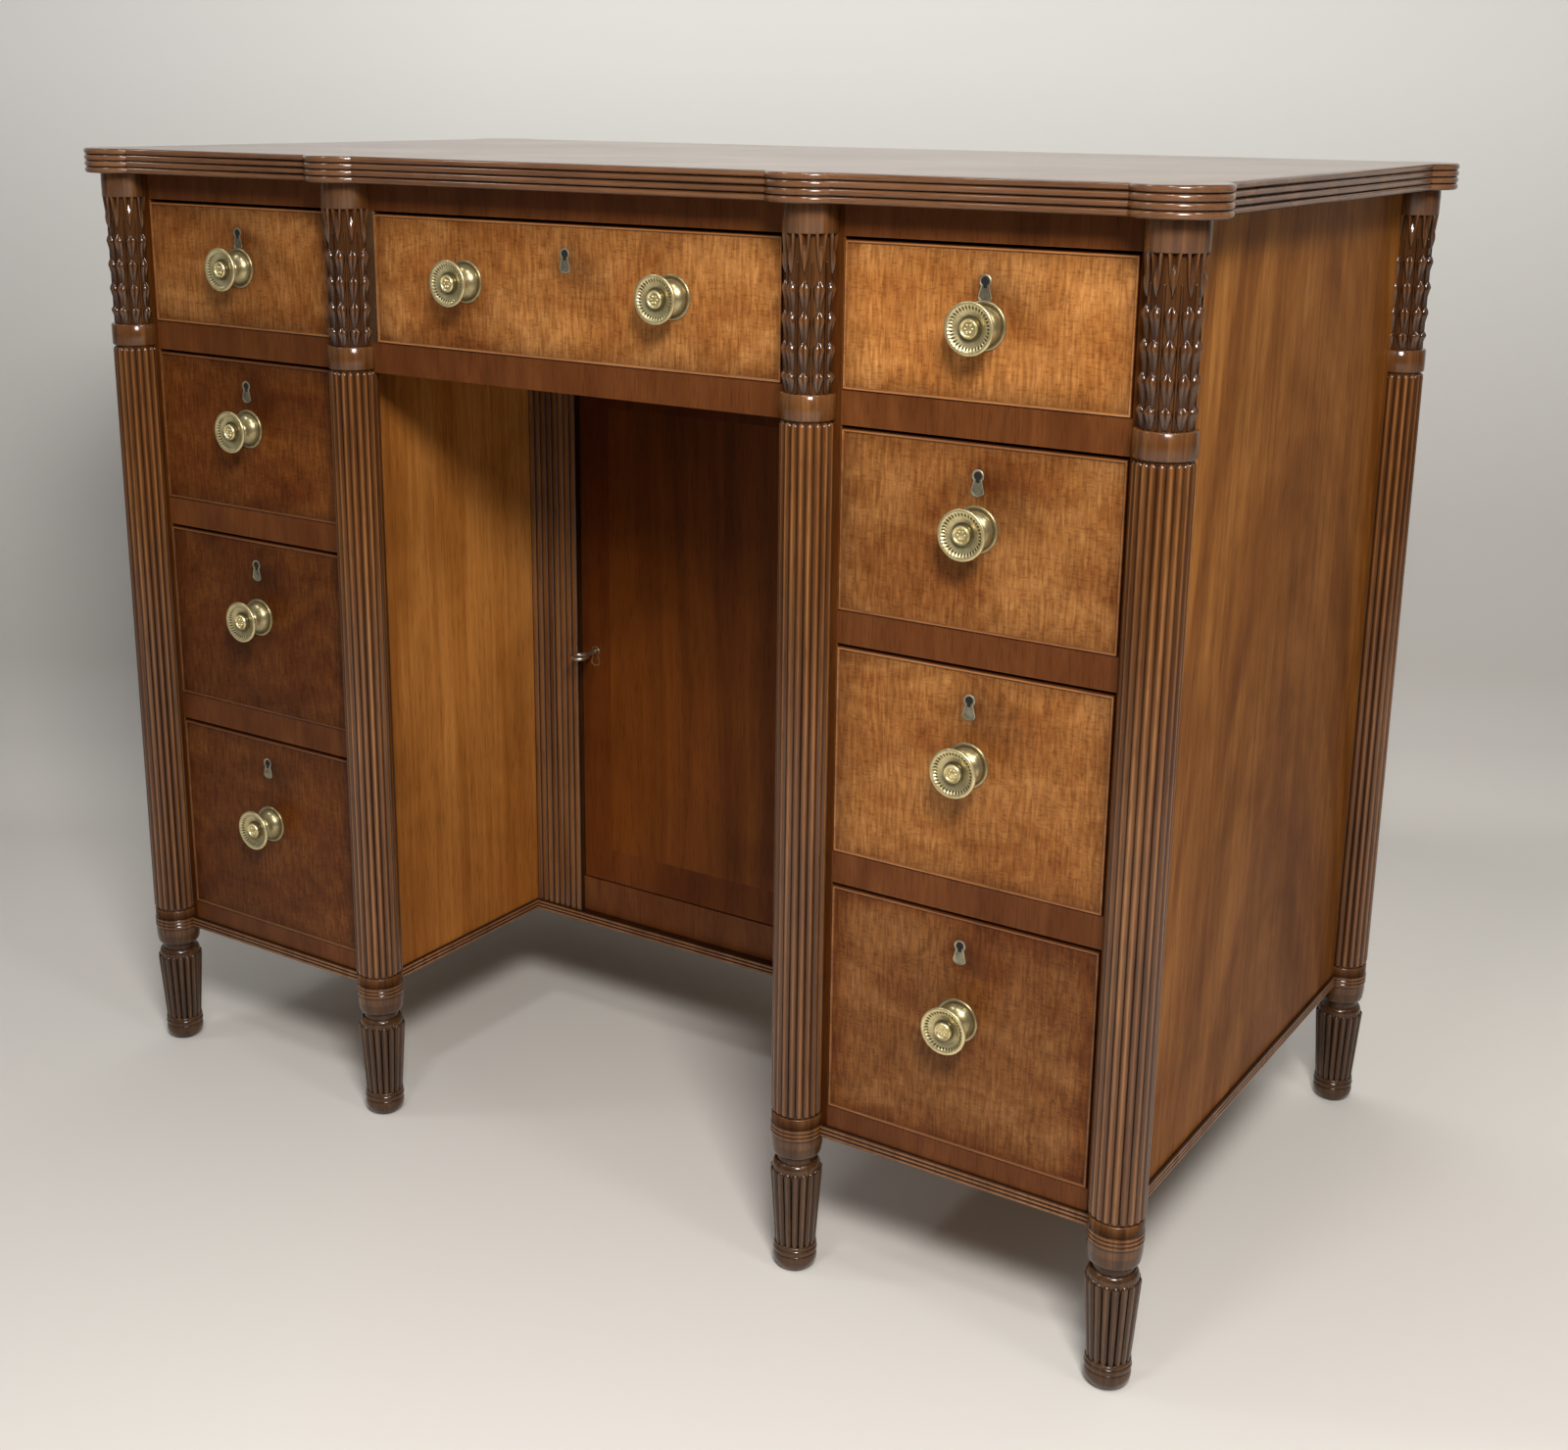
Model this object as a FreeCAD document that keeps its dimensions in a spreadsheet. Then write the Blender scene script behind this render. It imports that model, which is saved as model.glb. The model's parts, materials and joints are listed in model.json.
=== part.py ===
import FreeCAD, Part
import os
import Sketcher

# Kneehole desk in millimetres: X to the right, Y to the back, Z up, the floor at zero.
# Sizes holds every length and count that can be set by itself.
SIZES = {
    # plan of the post axes, and the boards that run between the posts
    "kneehole_axis_gap": "404",
    "bank_axis_gap": "244",
    "depth_axis_gap": "471",
    "post_setoff": "3.5",
    "kneehole_depth": "203",
    "panel_thickness": "19",
    "back_thickness": "12",
    # heights, from the floor to the top
    "foot_height": "107",
    "base_moulding_height": "9",
    "base_rail_height": "16",
    "bottom_drawer_height": "169",
    "lower_drawer_height": "147",
    "upper_drawer_height": "123",
    "top_drawer_height": "97",
    "drawer_rail_height": "22.5",
    "top_rail_height": "20.3",
    "top_thickness": "19.2",
    # top board with its lobes and reeded edge
    "lobe_radius": "30.5",
    "edge_setback": "12",
    "edge_reed_count": "4",
    "edge_reed_depth": "1.6",
    # turned posts: neck, leaf drum, band, reeded shaft and rings
    "post_radius": "19",
    "neck_height": "18.8",
    "leaf_tip_radius": "18.4",
    "leaf_root_radius": "16.6",
    "band_height": "17",
    "shaft_reed_count": "20",
    "shaft_reed_radius": "3.1",
    "shaft_crest_inset": "0.4",
    "shaft_core_rise": "1.1",
    "shaft_reed_end": "5",
    "shaft_reed_stop": "0.6",
    "collar_height": "8",
    "collar_radius": "18.4",
    "ring_count": "3",
    "ring_projection": "0.6",
    # turned feet below the rings
    "bulb_height": "11",
    "bulb_round": "5.5",
    "ankle_radius": "13.8",
    "ankle_height": "5",
    "cove_height": "6",
    "shoulder_radius": "17",
    "shoulder_height": "5",
    "shoulder_round": "0.8",
    "foot_reed_count": "18",
    "foot_reed_crest_radius": "19",
    "foot_reed_drop": "3",
    "foot_reed_top_radius": "3.1",
    "foot_reed_end_radius": "2.6",
    "foot_reed_rounding": "2.4",
    "foot_end_radius": "14.8",
    "foot_core_depth": "2.2",
    "foot_reed_sink": "3",
    "toe_height": "20",
    "toe_radius": "16",
    "toe_round": "0.6",
    "toe_floor_radius": "12",
    # rails, runners, dust boards and the base moulding
    "rail_depth": "45",
    "runner_width": "18",
    "dust_board_thickness": "8",
    "runner_height": "7",
    "guide_width": "26",
    "base_moulding_projection": "3",
    "base_moulding_reed_depth": "1",
    "butt_gap": "0.2",
    # drawers
    "drawer_side_clearance": "0.8",
    "drawer_top_clearance": "2",
    "drawer_running_clearance": "0.3",
    "drawer_back_gap": "10",
    "front_thickness": "19",
    "bead_width": "3",
    "bead_projection": "1",
    "drawer_side_thickness": "9",
    "drawer_side_drop": "8",
    "drawer_bottom_thickness": "6",
    "drawer_bottom_rise": "6",
    "drawer_lock_width": "56",
    "drawer_lock_height": "38",
    "drawer_lock_depth": "9",
    "drawer_lock_drop": "8",
    # brass pulls and keyhole linings
    "centre_pull_offset": "91",
    "pull_projection": "22",
    "pull_radius": "16.6",
    "pull_disc_thickness": "5",
    "pull_rim_width": "4",
    "pull_dish_depth": "1.4",
    "pull_boss_radius": "6.5",
    "pull_waist_radius": "5",
    "pull_foot_radius": "6",
    "rose_radius": "15.4",
    "rose_rim_thickness": "1.4",
    "rose_dome_radius": "12.6",
    "rose_thickness": "8",
    "keyhole_drop": "27",
    "keyhole_height": "17.5",
    "keyhole_neck_drop": "7.1",
    "keyhole_neck_half_width": "3",
    "keyhole_foot_half_width": "4.8",
    "keyhole_foot_rise": "3",
    "keyhole_lining_wall": "1.1",
    "keyhole_lining_thickness": "0.6",
    # cupboard at the back of the kneehole
    "stile_width": "50",
    "stile_thickness": "22",
    "stile_reed_count": "8",
    "stile_reed_depth": "1.8",
    "cupboard_rail_height": "31",
    "cupboard_head_height": "16",
    "door_gap": "1.5",
    "door_recess": "6",
    "door_thickness": "20",
    "door_frame_width": "30",
    "door_panel_thickness": "12",
    # door hinges
    "hinge_height": "52",
    "hinge_inset": "60",
    "hinge_leaf_thickness": "0.6",
    "hinge_leaf_depth": "16",
    "knuckle_radius": "3",
    "hinge_pin_radius": "1.4",
    "hinge_pin_clearance": "0.08",
    "knuckle_gap": "0.4",
    # door lock, bolt, striker and key
    "door_lock_inset": "5",
    "door_lock_width": "42",
    "door_lock_height": "64",
    "door_lock_depth": "12",
    "bolt_length": "24",
    "bolt_height": "12",
    "bolt_thickness": "6",
    "bolt_rise": "12",
    "bolt_clearance": "0.4",
    "striker_width": "12",
    "striker_height": "30",
    "key_inset": "14",
    "key_rise": "209",
    "key_shank_radius": "2.2",
    "key_clearance": "0.4",
    "key_standoff": "16",
    "key_bow_radius": "7",
    "key_bow_wire_radius": "1.5",
    "key_bit_length": "5.5",
    "key_bit_width": "4",
    "key_bit_thickness": "1.6",
    # every cut runs past the solid by this much
    "overrun": "5",
}

# Places holds what follows from the sizes: axes, planes and levels.
PLACES = {
    "inner_axis_x": "=Sizes.kneehole_axis_gap / 2",
    "outer_axis_x": "=inner_axis_x + Sizes.bank_axis_gap",
    "bank_centre_x": "=(inner_axis_x + outer_axis_x) / 2",
    "axis_y": "=Sizes.depth_axis_gap / 2",
    "front_y": "=Sizes.post_setoff - axis_y",
    "back_y": "=axis_y - Sizes.post_setoff",
    "back_inner_y": "=back_y - Sizes.back_thickness",
    "cupboard_y": "=front_y + Sizes.kneehole_depth",
    "knee_face_x": "=inner_axis_x + Sizes.post_setoff",
    "side_face_x": "=outer_axis_x - Sizes.post_setoff",
    "bank_near_x": "=knee_face_x + Sizes.panel_thickness",
    "bank_far_x": "=side_face_x - Sizes.panel_thickness",
    "centre_half": "=knee_face_x - Sizes.guide_width",
    "panel_bottom_z": "=Sizes.foot_height + Sizes.base_moulding_height",
    "bottom_row_z": "=panel_bottom_z + Sizes.base_rail_height",
    "bottom_rail_z": "=bottom_row_z + Sizes.bottom_drawer_height",
    "lower_row_z": "=bottom_rail_z + Sizes.drawer_rail_height",
    "lower_rail_z": "=lower_row_z + Sizes.lower_drawer_height",
    "upper_row_z": "=lower_rail_z + Sizes.drawer_rail_height",
    "upper_rail_z": "=upper_row_z + Sizes.upper_drawer_height",
    "top_row_z": "=upper_rail_z + Sizes.drawer_rail_height",
    "top_rail_z": "=top_row_z + Sizes.top_drawer_height",
    "underside_z": "=top_rail_z + Sizes.top_rail_height",
    "edge_x": "=outer_axis_x + Sizes.lobe_radius - Sizes.edge_setback",
    "edge_y": "=axis_y + Sizes.lobe_radius - Sizes.edge_setback",
    "edge_reed_pitch": "=Sizes.top_thickness / Sizes.edge_reed_count",
    "drum_top_z": "=underside_z - Sizes.neck_height",
    "band_bottom_z": "=upper_rail_z + (Sizes.drawer_rail_height - Sizes.band_height) / 2",
    "band_top_z": "=band_bottom_z + Sizes.band_height",
    "drum_height": "=drum_top_z - band_top_z",
    "shaft_bottom_z": "=panel_bottom_z + Sizes.collar_height",
    "shaft_reed_axis": "=Sizes.post_radius - Sizes.shaft_crest_inset - Sizes.shaft_reed_radius",
    "ring_height": "=Sizes.base_moulding_height / Sizes.ring_count",
    "moulding_width": "=Sizes.post_radius - Sizes.post_setoff + Sizes.base_moulding_projection",
    "bulb_round_z": "=Sizes.foot_height - Sizes.bulb_height",
    "ankle_z": "=bulb_round_z - Sizes.bulb_round",
    "cove_z": "=ankle_z - Sizes.ankle_height",
    "shoulder_z": "=cove_z - Sizes.cove_height",
    "shoulder_bottom_z": "=shoulder_z - Sizes.shoulder_height",
    "foot_reed_top_z": "=shoulder_z - Sizes.foot_reed_drop",
    "foot_reed_top_axis": "=Sizes.foot_reed_crest_radius - Sizes.foot_reed_top_radius",
    "foot_reed_end_axis": "=Sizes.foot_end_radius - Sizes.foot_reed_end_radius",
    "drawer_length": "=back_inner_y - front_y - Sizes.drawer_back_gap",
    "drawer_tail_y": "=front_y + drawer_length",
    "door_half": "=knee_face_x - Sizes.stile_width - Sizes.door_gap",
    "door_y": "=cupboard_y + Sizes.door_recess",
    "door_back_y": "=door_y + Sizes.door_thickness",
    "door_z": "=panel_bottom_z + Sizes.cupboard_rail_height + Sizes.door_gap",
    "head_z": "=upper_rail_z - Sizes.cupboard_head_height",
    "door_height": "=head_z - Sizes.door_gap - door_z",
    "hinge_x": "=door_half + Sizes.door_gap - Sizes.knuckle_radius - Sizes.knuckle_gap",
    "hinge_y": "=door_y - Sizes.knuckle_radius - Sizes.knuckle_gap",
    "knuckle_height": "=Sizes.hinge_height / 3",
    "key_x": "=Sizes.key_inset - door_half",
    "key_z": "=door_z + Sizes.key_rise",
    "lock_x": "=Sizes.door_lock_inset - door_half",
    "keyhole_head_radius": "=(Sizes.keyhole_neck_drop ^ 2 + Sizes.keyhole_neck_half_width ^ 2)"
                           " / (2 * Sizes.keyhole_neck_drop)",
    "bolt_y": "=door_back_y + (Sizes.door_lock_depth - Sizes.bolt_thickness) / 2",
    "bolt_z": "=key_z + Sizes.bolt_rise",
}

# Heights of the leaf tips above the band, as shares of the leaf drum.
LEAF_TIP_SHARES = (0.69, 0.52, 0.33, 0.14)
# Where the pull sits, as a share of each drawer's height.
PULL_HEIGHT_SHARES = {"top": 0.49, "upper": 0.54, "lower": 0.55, "bottom": 0.55}
CENTRE_PULL_HEIGHT_SHARE = 0.52
# How far a rounded corner of a quarter turn bows from its chord's two ends.
ROUND_NEAR_SHARE = 0.29
ROUND_FAR_SHARE = 0.71
# Profile of a pull between its foot and its disc, as shares of its stem.
PULL_WAIST_SHARE = 0.45
# The middle of a reed, ring, rim or front between its two edges.
HALF_SHARE = 0.5

doc = FreeCAD.newDocument("KneeholeDesk")
nodes = []


def add_sheet(name, cells):
    """Fill a spreadsheet with one named value to a row."""
    sheet = doc.addObject("Spreadsheet::Sheet", name)
    for row, (alias, text) in enumerate(cells.items(), start=1):
        sheet.set("A%d" % row, alias)
        sheet.set("B%d" % row, text)
        sheet.setAlias("B%d" % row, alias)
    doc.recompute()
    return sheet


sizes = add_sheet("Sizes", SIZES)
places = add_sheet("Places", PLACES)


def value(expression):
    """The number that an expression over the two sheets stands for."""
    return float(sizes.evalExpression(expression))


def count(alias):
    """A whole number from the sizes."""
    return int(round(value("Sizes." + alias)))


def bind(item, **expressions):
    """Bind properties of an object to expressions over the sheets."""
    for name, expression in expressions.items():
        item.setExpression(name, expression)
    return item


def place(item, x, y, z):
    """Bind an object's position."""
    for axis, expression in (("x", x), ("y", y), ("z", z)):
        item.setExpression("Placement.Base." + axis, expression)
    return item


def turn(item, axis, angle):
    """Turn an object about one of its own axes."""
    item.Placement = FreeCAD.Placement(FreeCAD.Vector(), FreeCAD.Rotation(FreeCAD.Vector(*axis), angle))
    return item


def node(label, *solids):
    """Name a finished piece, or a group of like pieces that stay separate solids."""
    piece = solids[0]
    if len(solids) > 1:
        piece = doc.addObject("Part::Compound", label)
        piece.Links = list(solids)
    piece.Label = label
    nodes.append(piece)
    return piece


def board(x, y, z, length, width, height):
    """A square-edged board from its lowest corner."""
    box = bind(doc.addObject("Part::Box", "Board"), Length=length, Width=width, Height=height)
    return place(box, x, y, z)


def rod(x, y, z, radius, height):
    """An upright cylinder."""
    return place(bind(doc.addObject("Part::Cylinder", "Rod"), Radius=radius, Height=height), x, y, z)


def rod_to_front(x, y, z, radius, height):
    """A cylinder that points to the front from its back end."""
    cylinder = turn(doc.addObject("Part::Cylinder", "Rod"), (1, 0, 0), 90)
    return place(bind(cylinder, Radius=radius, Height=height), x, y, z)


def cut(base, tool):
    """One solid less another."""
    result = doc.addObject("Part::Cut", "Cut")
    result.Base = base
    result.Tool = tool
    return result


def fuse(*solids):
    """Several overlapping shapes as one solid."""
    result = doc.addObject("Part::MultiFuse", "Fusion")
    result.Shapes = list(solids)
    return result


def origin_feature(body, role):
    """A body's own origin plane or axis."""
    return next(feature for feature in body.Origin.OriginFeatures if feature.Role == role)


def new_sketch(body, role):
    """An empty sketch on one of the body's origin planes."""
    sketch = body.newObject("Sketcher::SketchObject", "Profile")
    sketch.AttachmentSupport = [(origin_feature(body, role), "")]
    sketch.MapMode = "FlatFace"
    return sketch


def tie(sketch, geometry, end, x, y):
    """Hold a sketch point at an expression in x and one in y."""
    for kind, axis, expression in (("DistanceX", -2, x), ("DistanceY", -1, y)):
        if expression == "0":
            sketch.addConstraint(Sketcher.Constraint("PointOnObject", geometry, end, axis))
        else:
            rule = Sketcher.Constraint(kind, -1, 1, geometry, end, value(expression))
            index = sketch.addConstraint(rule)
            sketch.setExpression("Constraints[%d]" % index, expression)


def outline(sketch, points):
    """Close a loop of corners; a corner with four entries starts an arc through its second pair."""
    corners = [FreeCAD.Vector(value(point[0]), value(point[1]), 0) for point in points]
    sides = []
    for index, point in enumerate(points):
        start = corners[index]
        end = corners[(index + 1) % len(points)]
        if len(point) == 2:
            sides.append((sketch.addGeometry(Part.LineSegment(start, end), False), 1, 2))
            continue
        middle = FreeCAD.Vector(value(point[2]), value(point[3]), 0)
        arc = sketch.addGeometry(Part.Arc(start, middle, end), False)
        first = sketch.getPoint(arc, 1)
        forward = first.distanceToPoint(start) < first.distanceToPoint(end)
        sides.append((arc, 1, 2) if forward else (arc, 2, 1))
        through = sketch.addGeometry(Part.Point(middle), True)
        tie(sketch, through, 1, point[2], point[3])
        sketch.addConstraint(Sketcher.Constraint("PointOnObject", through, 1, arc))
    for index, point in enumerate(points):
        geometry, start, end = sides[index]
        before, before_start, before_end = sides[index - 1]
        sketch.addConstraint(Sketcher.Constraint("Coincident", before, before_end, geometry, start))
        tie(sketch, geometry, start, point[0], point[1])


def padded(length, *loops):
    """A body padded from one outline, with any further loops as holes."""
    body = doc.addObject("PartDesign::Body", "Padded")
    sketch = new_sketch(body, "XY_Plane")
    for loop in loops:
        outline(sketch, loop)
    pad = body.newObject("PartDesign::Pad", "Pad")
    pad.Profile = sketch
    bind(pad, Length=length)
    return body


def turned(points):
    """A body turned about its upright axis from a half section."""
    body = doc.addObject("PartDesign::Body", "Turned")
    sketch = new_sketch(body, "XZ_Plane")
    outline(sketch, points)
    lathe = body.newObject("PartDesign::Revolution", "Lathe")
    lathe.Profile = sketch
    lathe.ReferenceAxis = (sketch, ["V_Axis"])
    lathe.Angle = 360
    return body


def add_reeds(body, points, copies):
    """Turn one reed about the line from its first point to its last, and repeat it round the body."""
    sketch = new_sketch(body, "XZ_Plane")
    outline(sketch, points)
    ends = [FreeCAD.Vector(value(point[0]), value(point[1]), 0) for point in (points[0], points[-1])]
    axis = sketch.addGeometry(Part.LineSegment(ends[0], ends[1]), True)
    tie(sketch, axis, 1, *points[0])
    tie(sketch, axis, 2, *points[-1])
    reed = body.newObject("PartDesign::Revolution", "Reed")
    reed.Profile = sketch
    reed.ReferenceAxis = (sketch, ["Axis0"])
    reed.Angle = 360
    pattern = body.newObject("PartDesign::PolarPattern", "Reeds")
    pattern.Originals = [reed]
    pattern.Axis = (origin_feature(body, "Z_Axis"), [""])
    pattern.Angle = 360
    bind(pattern, Occurrences=copies)
    body.Tip = pattern


def rounded(x_from, z_from, x_to, z_to):
    """A corner that starts a quarter round, flat side first, to the next corner."""
    middle_x = "(%s) * %g + (%s) * %g" % (x_from, ROUND_FAR_SHARE, x_to, ROUND_NEAR_SHARE)
    middle_z = "(%s) * %g + (%s) * %g" % (z_from, ROUND_NEAR_SHARE, z_to, ROUND_FAR_SHARE)
    return x_from, z_from, middle_x, middle_z


def sided(side, near, far):
    """The lower x of a span that is given from the desk's middle outwards."""
    return near if side == "right" else "-(%s)" % far


def reeded_slab(length, depth):
    """Half of the top's outline: a slab with reeds along two opposite edges."""
    body = doc.addObject("PartDesign::Body", "Slab")
    sketch = new_sketch(body, "YZ_Plane")
    reeds = count("edge_reed_count")
    near = "Sizes.edge_reed_depth"
    far = "%s - Sizes.edge_reed_depth" % depth
    levels = ["Places.edge_reed_pitch * %d" % index for index in range(reeds)] + ["Sizes.top_thickness"]
    crests = ["Places.edge_reed_pitch * %g" % (index + HALF_SHARE) for index in range(reeds)]
    points = [(near, "0")]
    points += [(far, "0" if index == 0 else levels[index], depth, crests[index]) for index in range(reeds)]
    points += [(far, "Sizes.top_thickness")]
    points += [(near, levels[index + 1], "0", crests[index]) for index in reversed(range(reeds))]
    outline(sketch, points)
    pad = body.newObject("PartDesign::Pad", "Pad")
    pad.Profile = sketch
    bind(pad, Length=length)
    return body


def lobe(x, y):
    """A reeded round of the top over one post."""
    inner = "Sizes.lobe_radius - Sizes.edge_reed_depth"
    points = [("0", "0")]
    for index in range(count("edge_reed_count")):
        level = "Places.edge_reed_pitch * %d" % index if index else "0"
        crest = "Places.edge_reed_pitch * %g" % (index + HALF_SHARE)
        points.append((inner, level, "Sizes.lobe_radius", crest))
    points += [(inner, "Sizes.top_thickness"), ("0", "Sizes.top_thickness")]
    return place(turned(points), x, y, "Places.underside_z")


POST_AXES = {
    "post_front_outer_left": ("-Places.outer_axis_x", "-Places.axis_y"),
    "post_front_inner_left": ("-Places.inner_axis_x", "-Places.axis_y"),
    "post_front_inner_right": ("Places.inner_axis_x", "-Places.axis_y"),
    "post_front_outer_right": ("Places.outer_axis_x", "-Places.axis_y"),
    "post_back_left": ("-Places.outer_axis_x", "Places.axis_y"),
    "post_back_right": ("Places.outer_axis_x", "Places.axis_y"),
}


def build_top():
    """The top: two crossed reeded slabs, and a lobe over every post."""
    along = place(reeded_slab("2 * Places.edge_x", "2 * Places.edge_y"),
                  "-Places.edge_x", "-Places.edge_y", "Places.underside_z")
    across = turn(reeded_slab("2 * Places.edge_y", "2 * Places.edge_x"), (0, 0, 1), 90)
    place(across, "Places.edge_x", "-Places.edge_y", "Places.underside_z")
    slab = doc.addObject("Part::Common", "Slab")
    slab.Base = along
    slab.Tool = across
    node("top", fuse(slab, *[lobe(x, y) for x, y in POST_AXES.values()]))


def post_section():
    """Half section of a post, from its top down to the floor."""
    neck = "Sizes.post_radius"
    tip = "Sizes.leaf_tip_radius"
    root = "Sizes.leaf_root_radius"
    collar = "Sizes.collar_radius"
    ankle = "Sizes.ankle_radius"
    shaft_core = "Places.shaft_reed_axis + Sizes.shaft_core_rise"
    points = [("0", "Places.underside_z"), (neck, "Places.underside_z"), (neck, "Places.drum_top_z")]
    for share in LEAF_TIP_SHARES:
        level = "Places.band_top_z + Places.drum_height * %g" % share
        points += [(root, level), (tip, level)]
    points += [(root, "Places.band_top_z"), (neck, "Places.band_top_z"), (neck, "Places.band_bottom_z")]
    points += [(shaft_core, "Places.band_bottom_z"), (shaft_core, "Places.shaft_bottom_z")]
    points += [(collar, "Places.shaft_bottom_z")]
    for index in range(count("ring_count")):
        level = "Places.panel_bottom_z - Places.ring_height * %d" % index
        crest = "Places.panel_bottom_z - Places.ring_height * %g" % (index + HALF_SHARE)
        points.append((collar, level, collar + " + Sizes.ring_projection", crest))
    points.append((collar, "Sizes.foot_height"))
    points.append(rounded(collar, "Places.bulb_round_z", ankle, "Places.ankle_z"))
    points.append((ankle, "Places.ankle_z"))
    rise = "Sizes.shoulder_radius - Sizes.shoulder_round"
    points.append(rounded(ankle, "Places.cove_z", rise, "Places.shoulder_z"))
    middle = "Places.shoulder_z - Sizes.shoulder_height * %g" % HALF_SHARE
    points.append((rise, "Places.shoulder_z", "Sizes.shoulder_radius", middle))
    points.append((rise, "Places.shoulder_bottom_z"))
    points.append(("Sizes.foot_end_radius - Sizes.foot_core_depth", "Sizes.toe_height"))
    swell = "Sizes.toe_radius - Sizes.toe_round"
    points.append((swell, "Sizes.toe_height", "Sizes.toe_radius", "Sizes.toe_height * %g" % ROUND_FAR_SHARE))
    points.append((swell, "Sizes.toe_height * %g" % (1 - HALF_SHARE)))
    points += [("Sizes.toe_floor_radius", "0"), ("0", "0")]
    return points


def post(x, y):
    """A turned post with a reeded shaft and a reeded foot."""
    body = turned(post_section())
    axis = "Places.shaft_reed_axis"
    crest = axis + " + Sizes.shaft_reed_radius"
    low = "Places.shaft_bottom_z + Sizes.shaft_reed_stop"
    high = "Places.band_bottom_z - Sizes.shaft_reed_stop"
    add_reeds(body, [
        (axis, low),
        (crest, low + " + Sizes.shaft_reed_end"),
        (crest, high + " - Sizes.shaft_reed_end"),
        (axis, high),
    ], "Sizes.shaft_reed_count")
    add_reeds(body, [
        ("Places.foot_reed_end_axis", "Sizes.toe_height - Sizes.foot_reed_sink"),
        ("Sizes.foot_end_radius", "Sizes.toe_height - Sizes.foot_reed_sink"),
        ("Sizes.foot_reed_crest_radius", "Places.foot_reed_top_z"),
        ("Places.foot_reed_top_axis", "Places.foot_reed_top_z + Sizes.foot_reed_rounding"),
    ], "Sizes.foot_reed_count")
    return place(body, x, y, "0")


def notch(x, y, z):
    """The corner of a post that is cut away for the boards behind it, up to the top."""
    return board(x, y, z, "2 * Sizes.post_radius", "2 * Sizes.post_radius", "Places.underside_z - (%s)" % z)


def build_posts():
    """Six posts, each notched over the corner of its bank, the inner ones also over the centre drawer."""
    width = "2 * Sizes.post_radius"
    for label, (x, y) in POST_AXES.items():
        side = "left" if label.endswith("left") else "right"
        corner_y = "Places.back_y - " + width if "back" in label else "Places.front_y"
        if "inner" in label:
            corner_x = sided(side, "Places.knee_face_x", "Places.knee_face_x + " + width)
        else:
            corner_x = sided(side, "Places.side_face_x - " + width, "Places.side_face_x")
        solid = cut(post(x, y), notch(corner_x, corner_y, "Places.panel_bottom_z"))
        if "inner" in label:
            knee_x = sided(side, "Places.knee_face_x - " + width, "Places.knee_face_x")
            solid = cut(solid, notch(knee_x, corner_y, "Places.upper_rail_z"))
        node(label, solid)


def build_panels():
    """Side boards, kneehole boards, the back and the bottom boards."""
    height = "Places.underside_z - Places.panel_bottom_z"
    floor = "Places.panel_bottom_z"
    for side in ("left", "right"):
        outer_x = sided(side, "Places.bank_far_x", "Places.side_face_x")
        node("side_panel_" + side, board(outer_x, "Places.front_y", floor, "Sizes.panel_thickness",
                                         "Places.back_y - Places.front_y", height))
        inner_x = sided(side, "Places.knee_face_x", "Places.bank_near_x")
        node("kneehole_panel_" + side, board(inner_x, "Places.front_y", floor, "Sizes.panel_thickness",
                                             "Places.back_inner_y - Places.front_y", height))
    node("back_panel", board("-Places.bank_far_x", "Places.back_inner_y", floor, "2 * Places.bank_far_x",
                             "Sizes.back_thickness", height))
    bottoms = []
    start = "Places.front_y + Sizes.rail_depth"
    for side in ("left", "right"):
        bottoms.append(board(sided(side, "Places.bank_near_x", "Places.bank_far_x"), start, floor,
                             "Places.bank_far_x - Places.bank_near_x", "Places.back_inner_y - (%s)" % start,
                             "Sizes.base_rail_height"))
    start = "Places.cupboard_y + Sizes.stile_thickness"
    bottoms.append(board("-Places.knee_face_x", start, floor, "2 * Places.knee_face_x",
                         "Places.back_inner_y - (%s)" % start, "Sizes.base_rail_height"))
    node("bottom_boards", *bottoms)


def rail(x, z, length, height):
    """A rail across the front of a drawer opening."""
    return board(x, "Places.front_y", z, length, "Sizes.rail_depth", height)


def dust_board_and_runners(low_x, width, rail_z, runner_width):
    """A dust board behind a rail, with a runner along each side of it."""
    start = "Places.front_y + Sizes.rail_depth"
    length = "Places.back_inner_y - (%s)" % start
    runner_z = "%s + Sizes.drawer_rail_height - Sizes.runner_height" % rail_z
    board_z = "%s - Sizes.dust_board_thickness" % runner_z
    far_x = "%s + %s - (%s)" % (low_x, width, runner_width)
    return [
        board(low_x, start, board_z, width, length, "Sizes.dust_board_thickness"),
        board(low_x, start, runner_z, runner_width, length, "Sizes.runner_height"),
        board(far_x, start, runner_z, runner_width, length, "Sizes.runner_height"),
    ]


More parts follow.
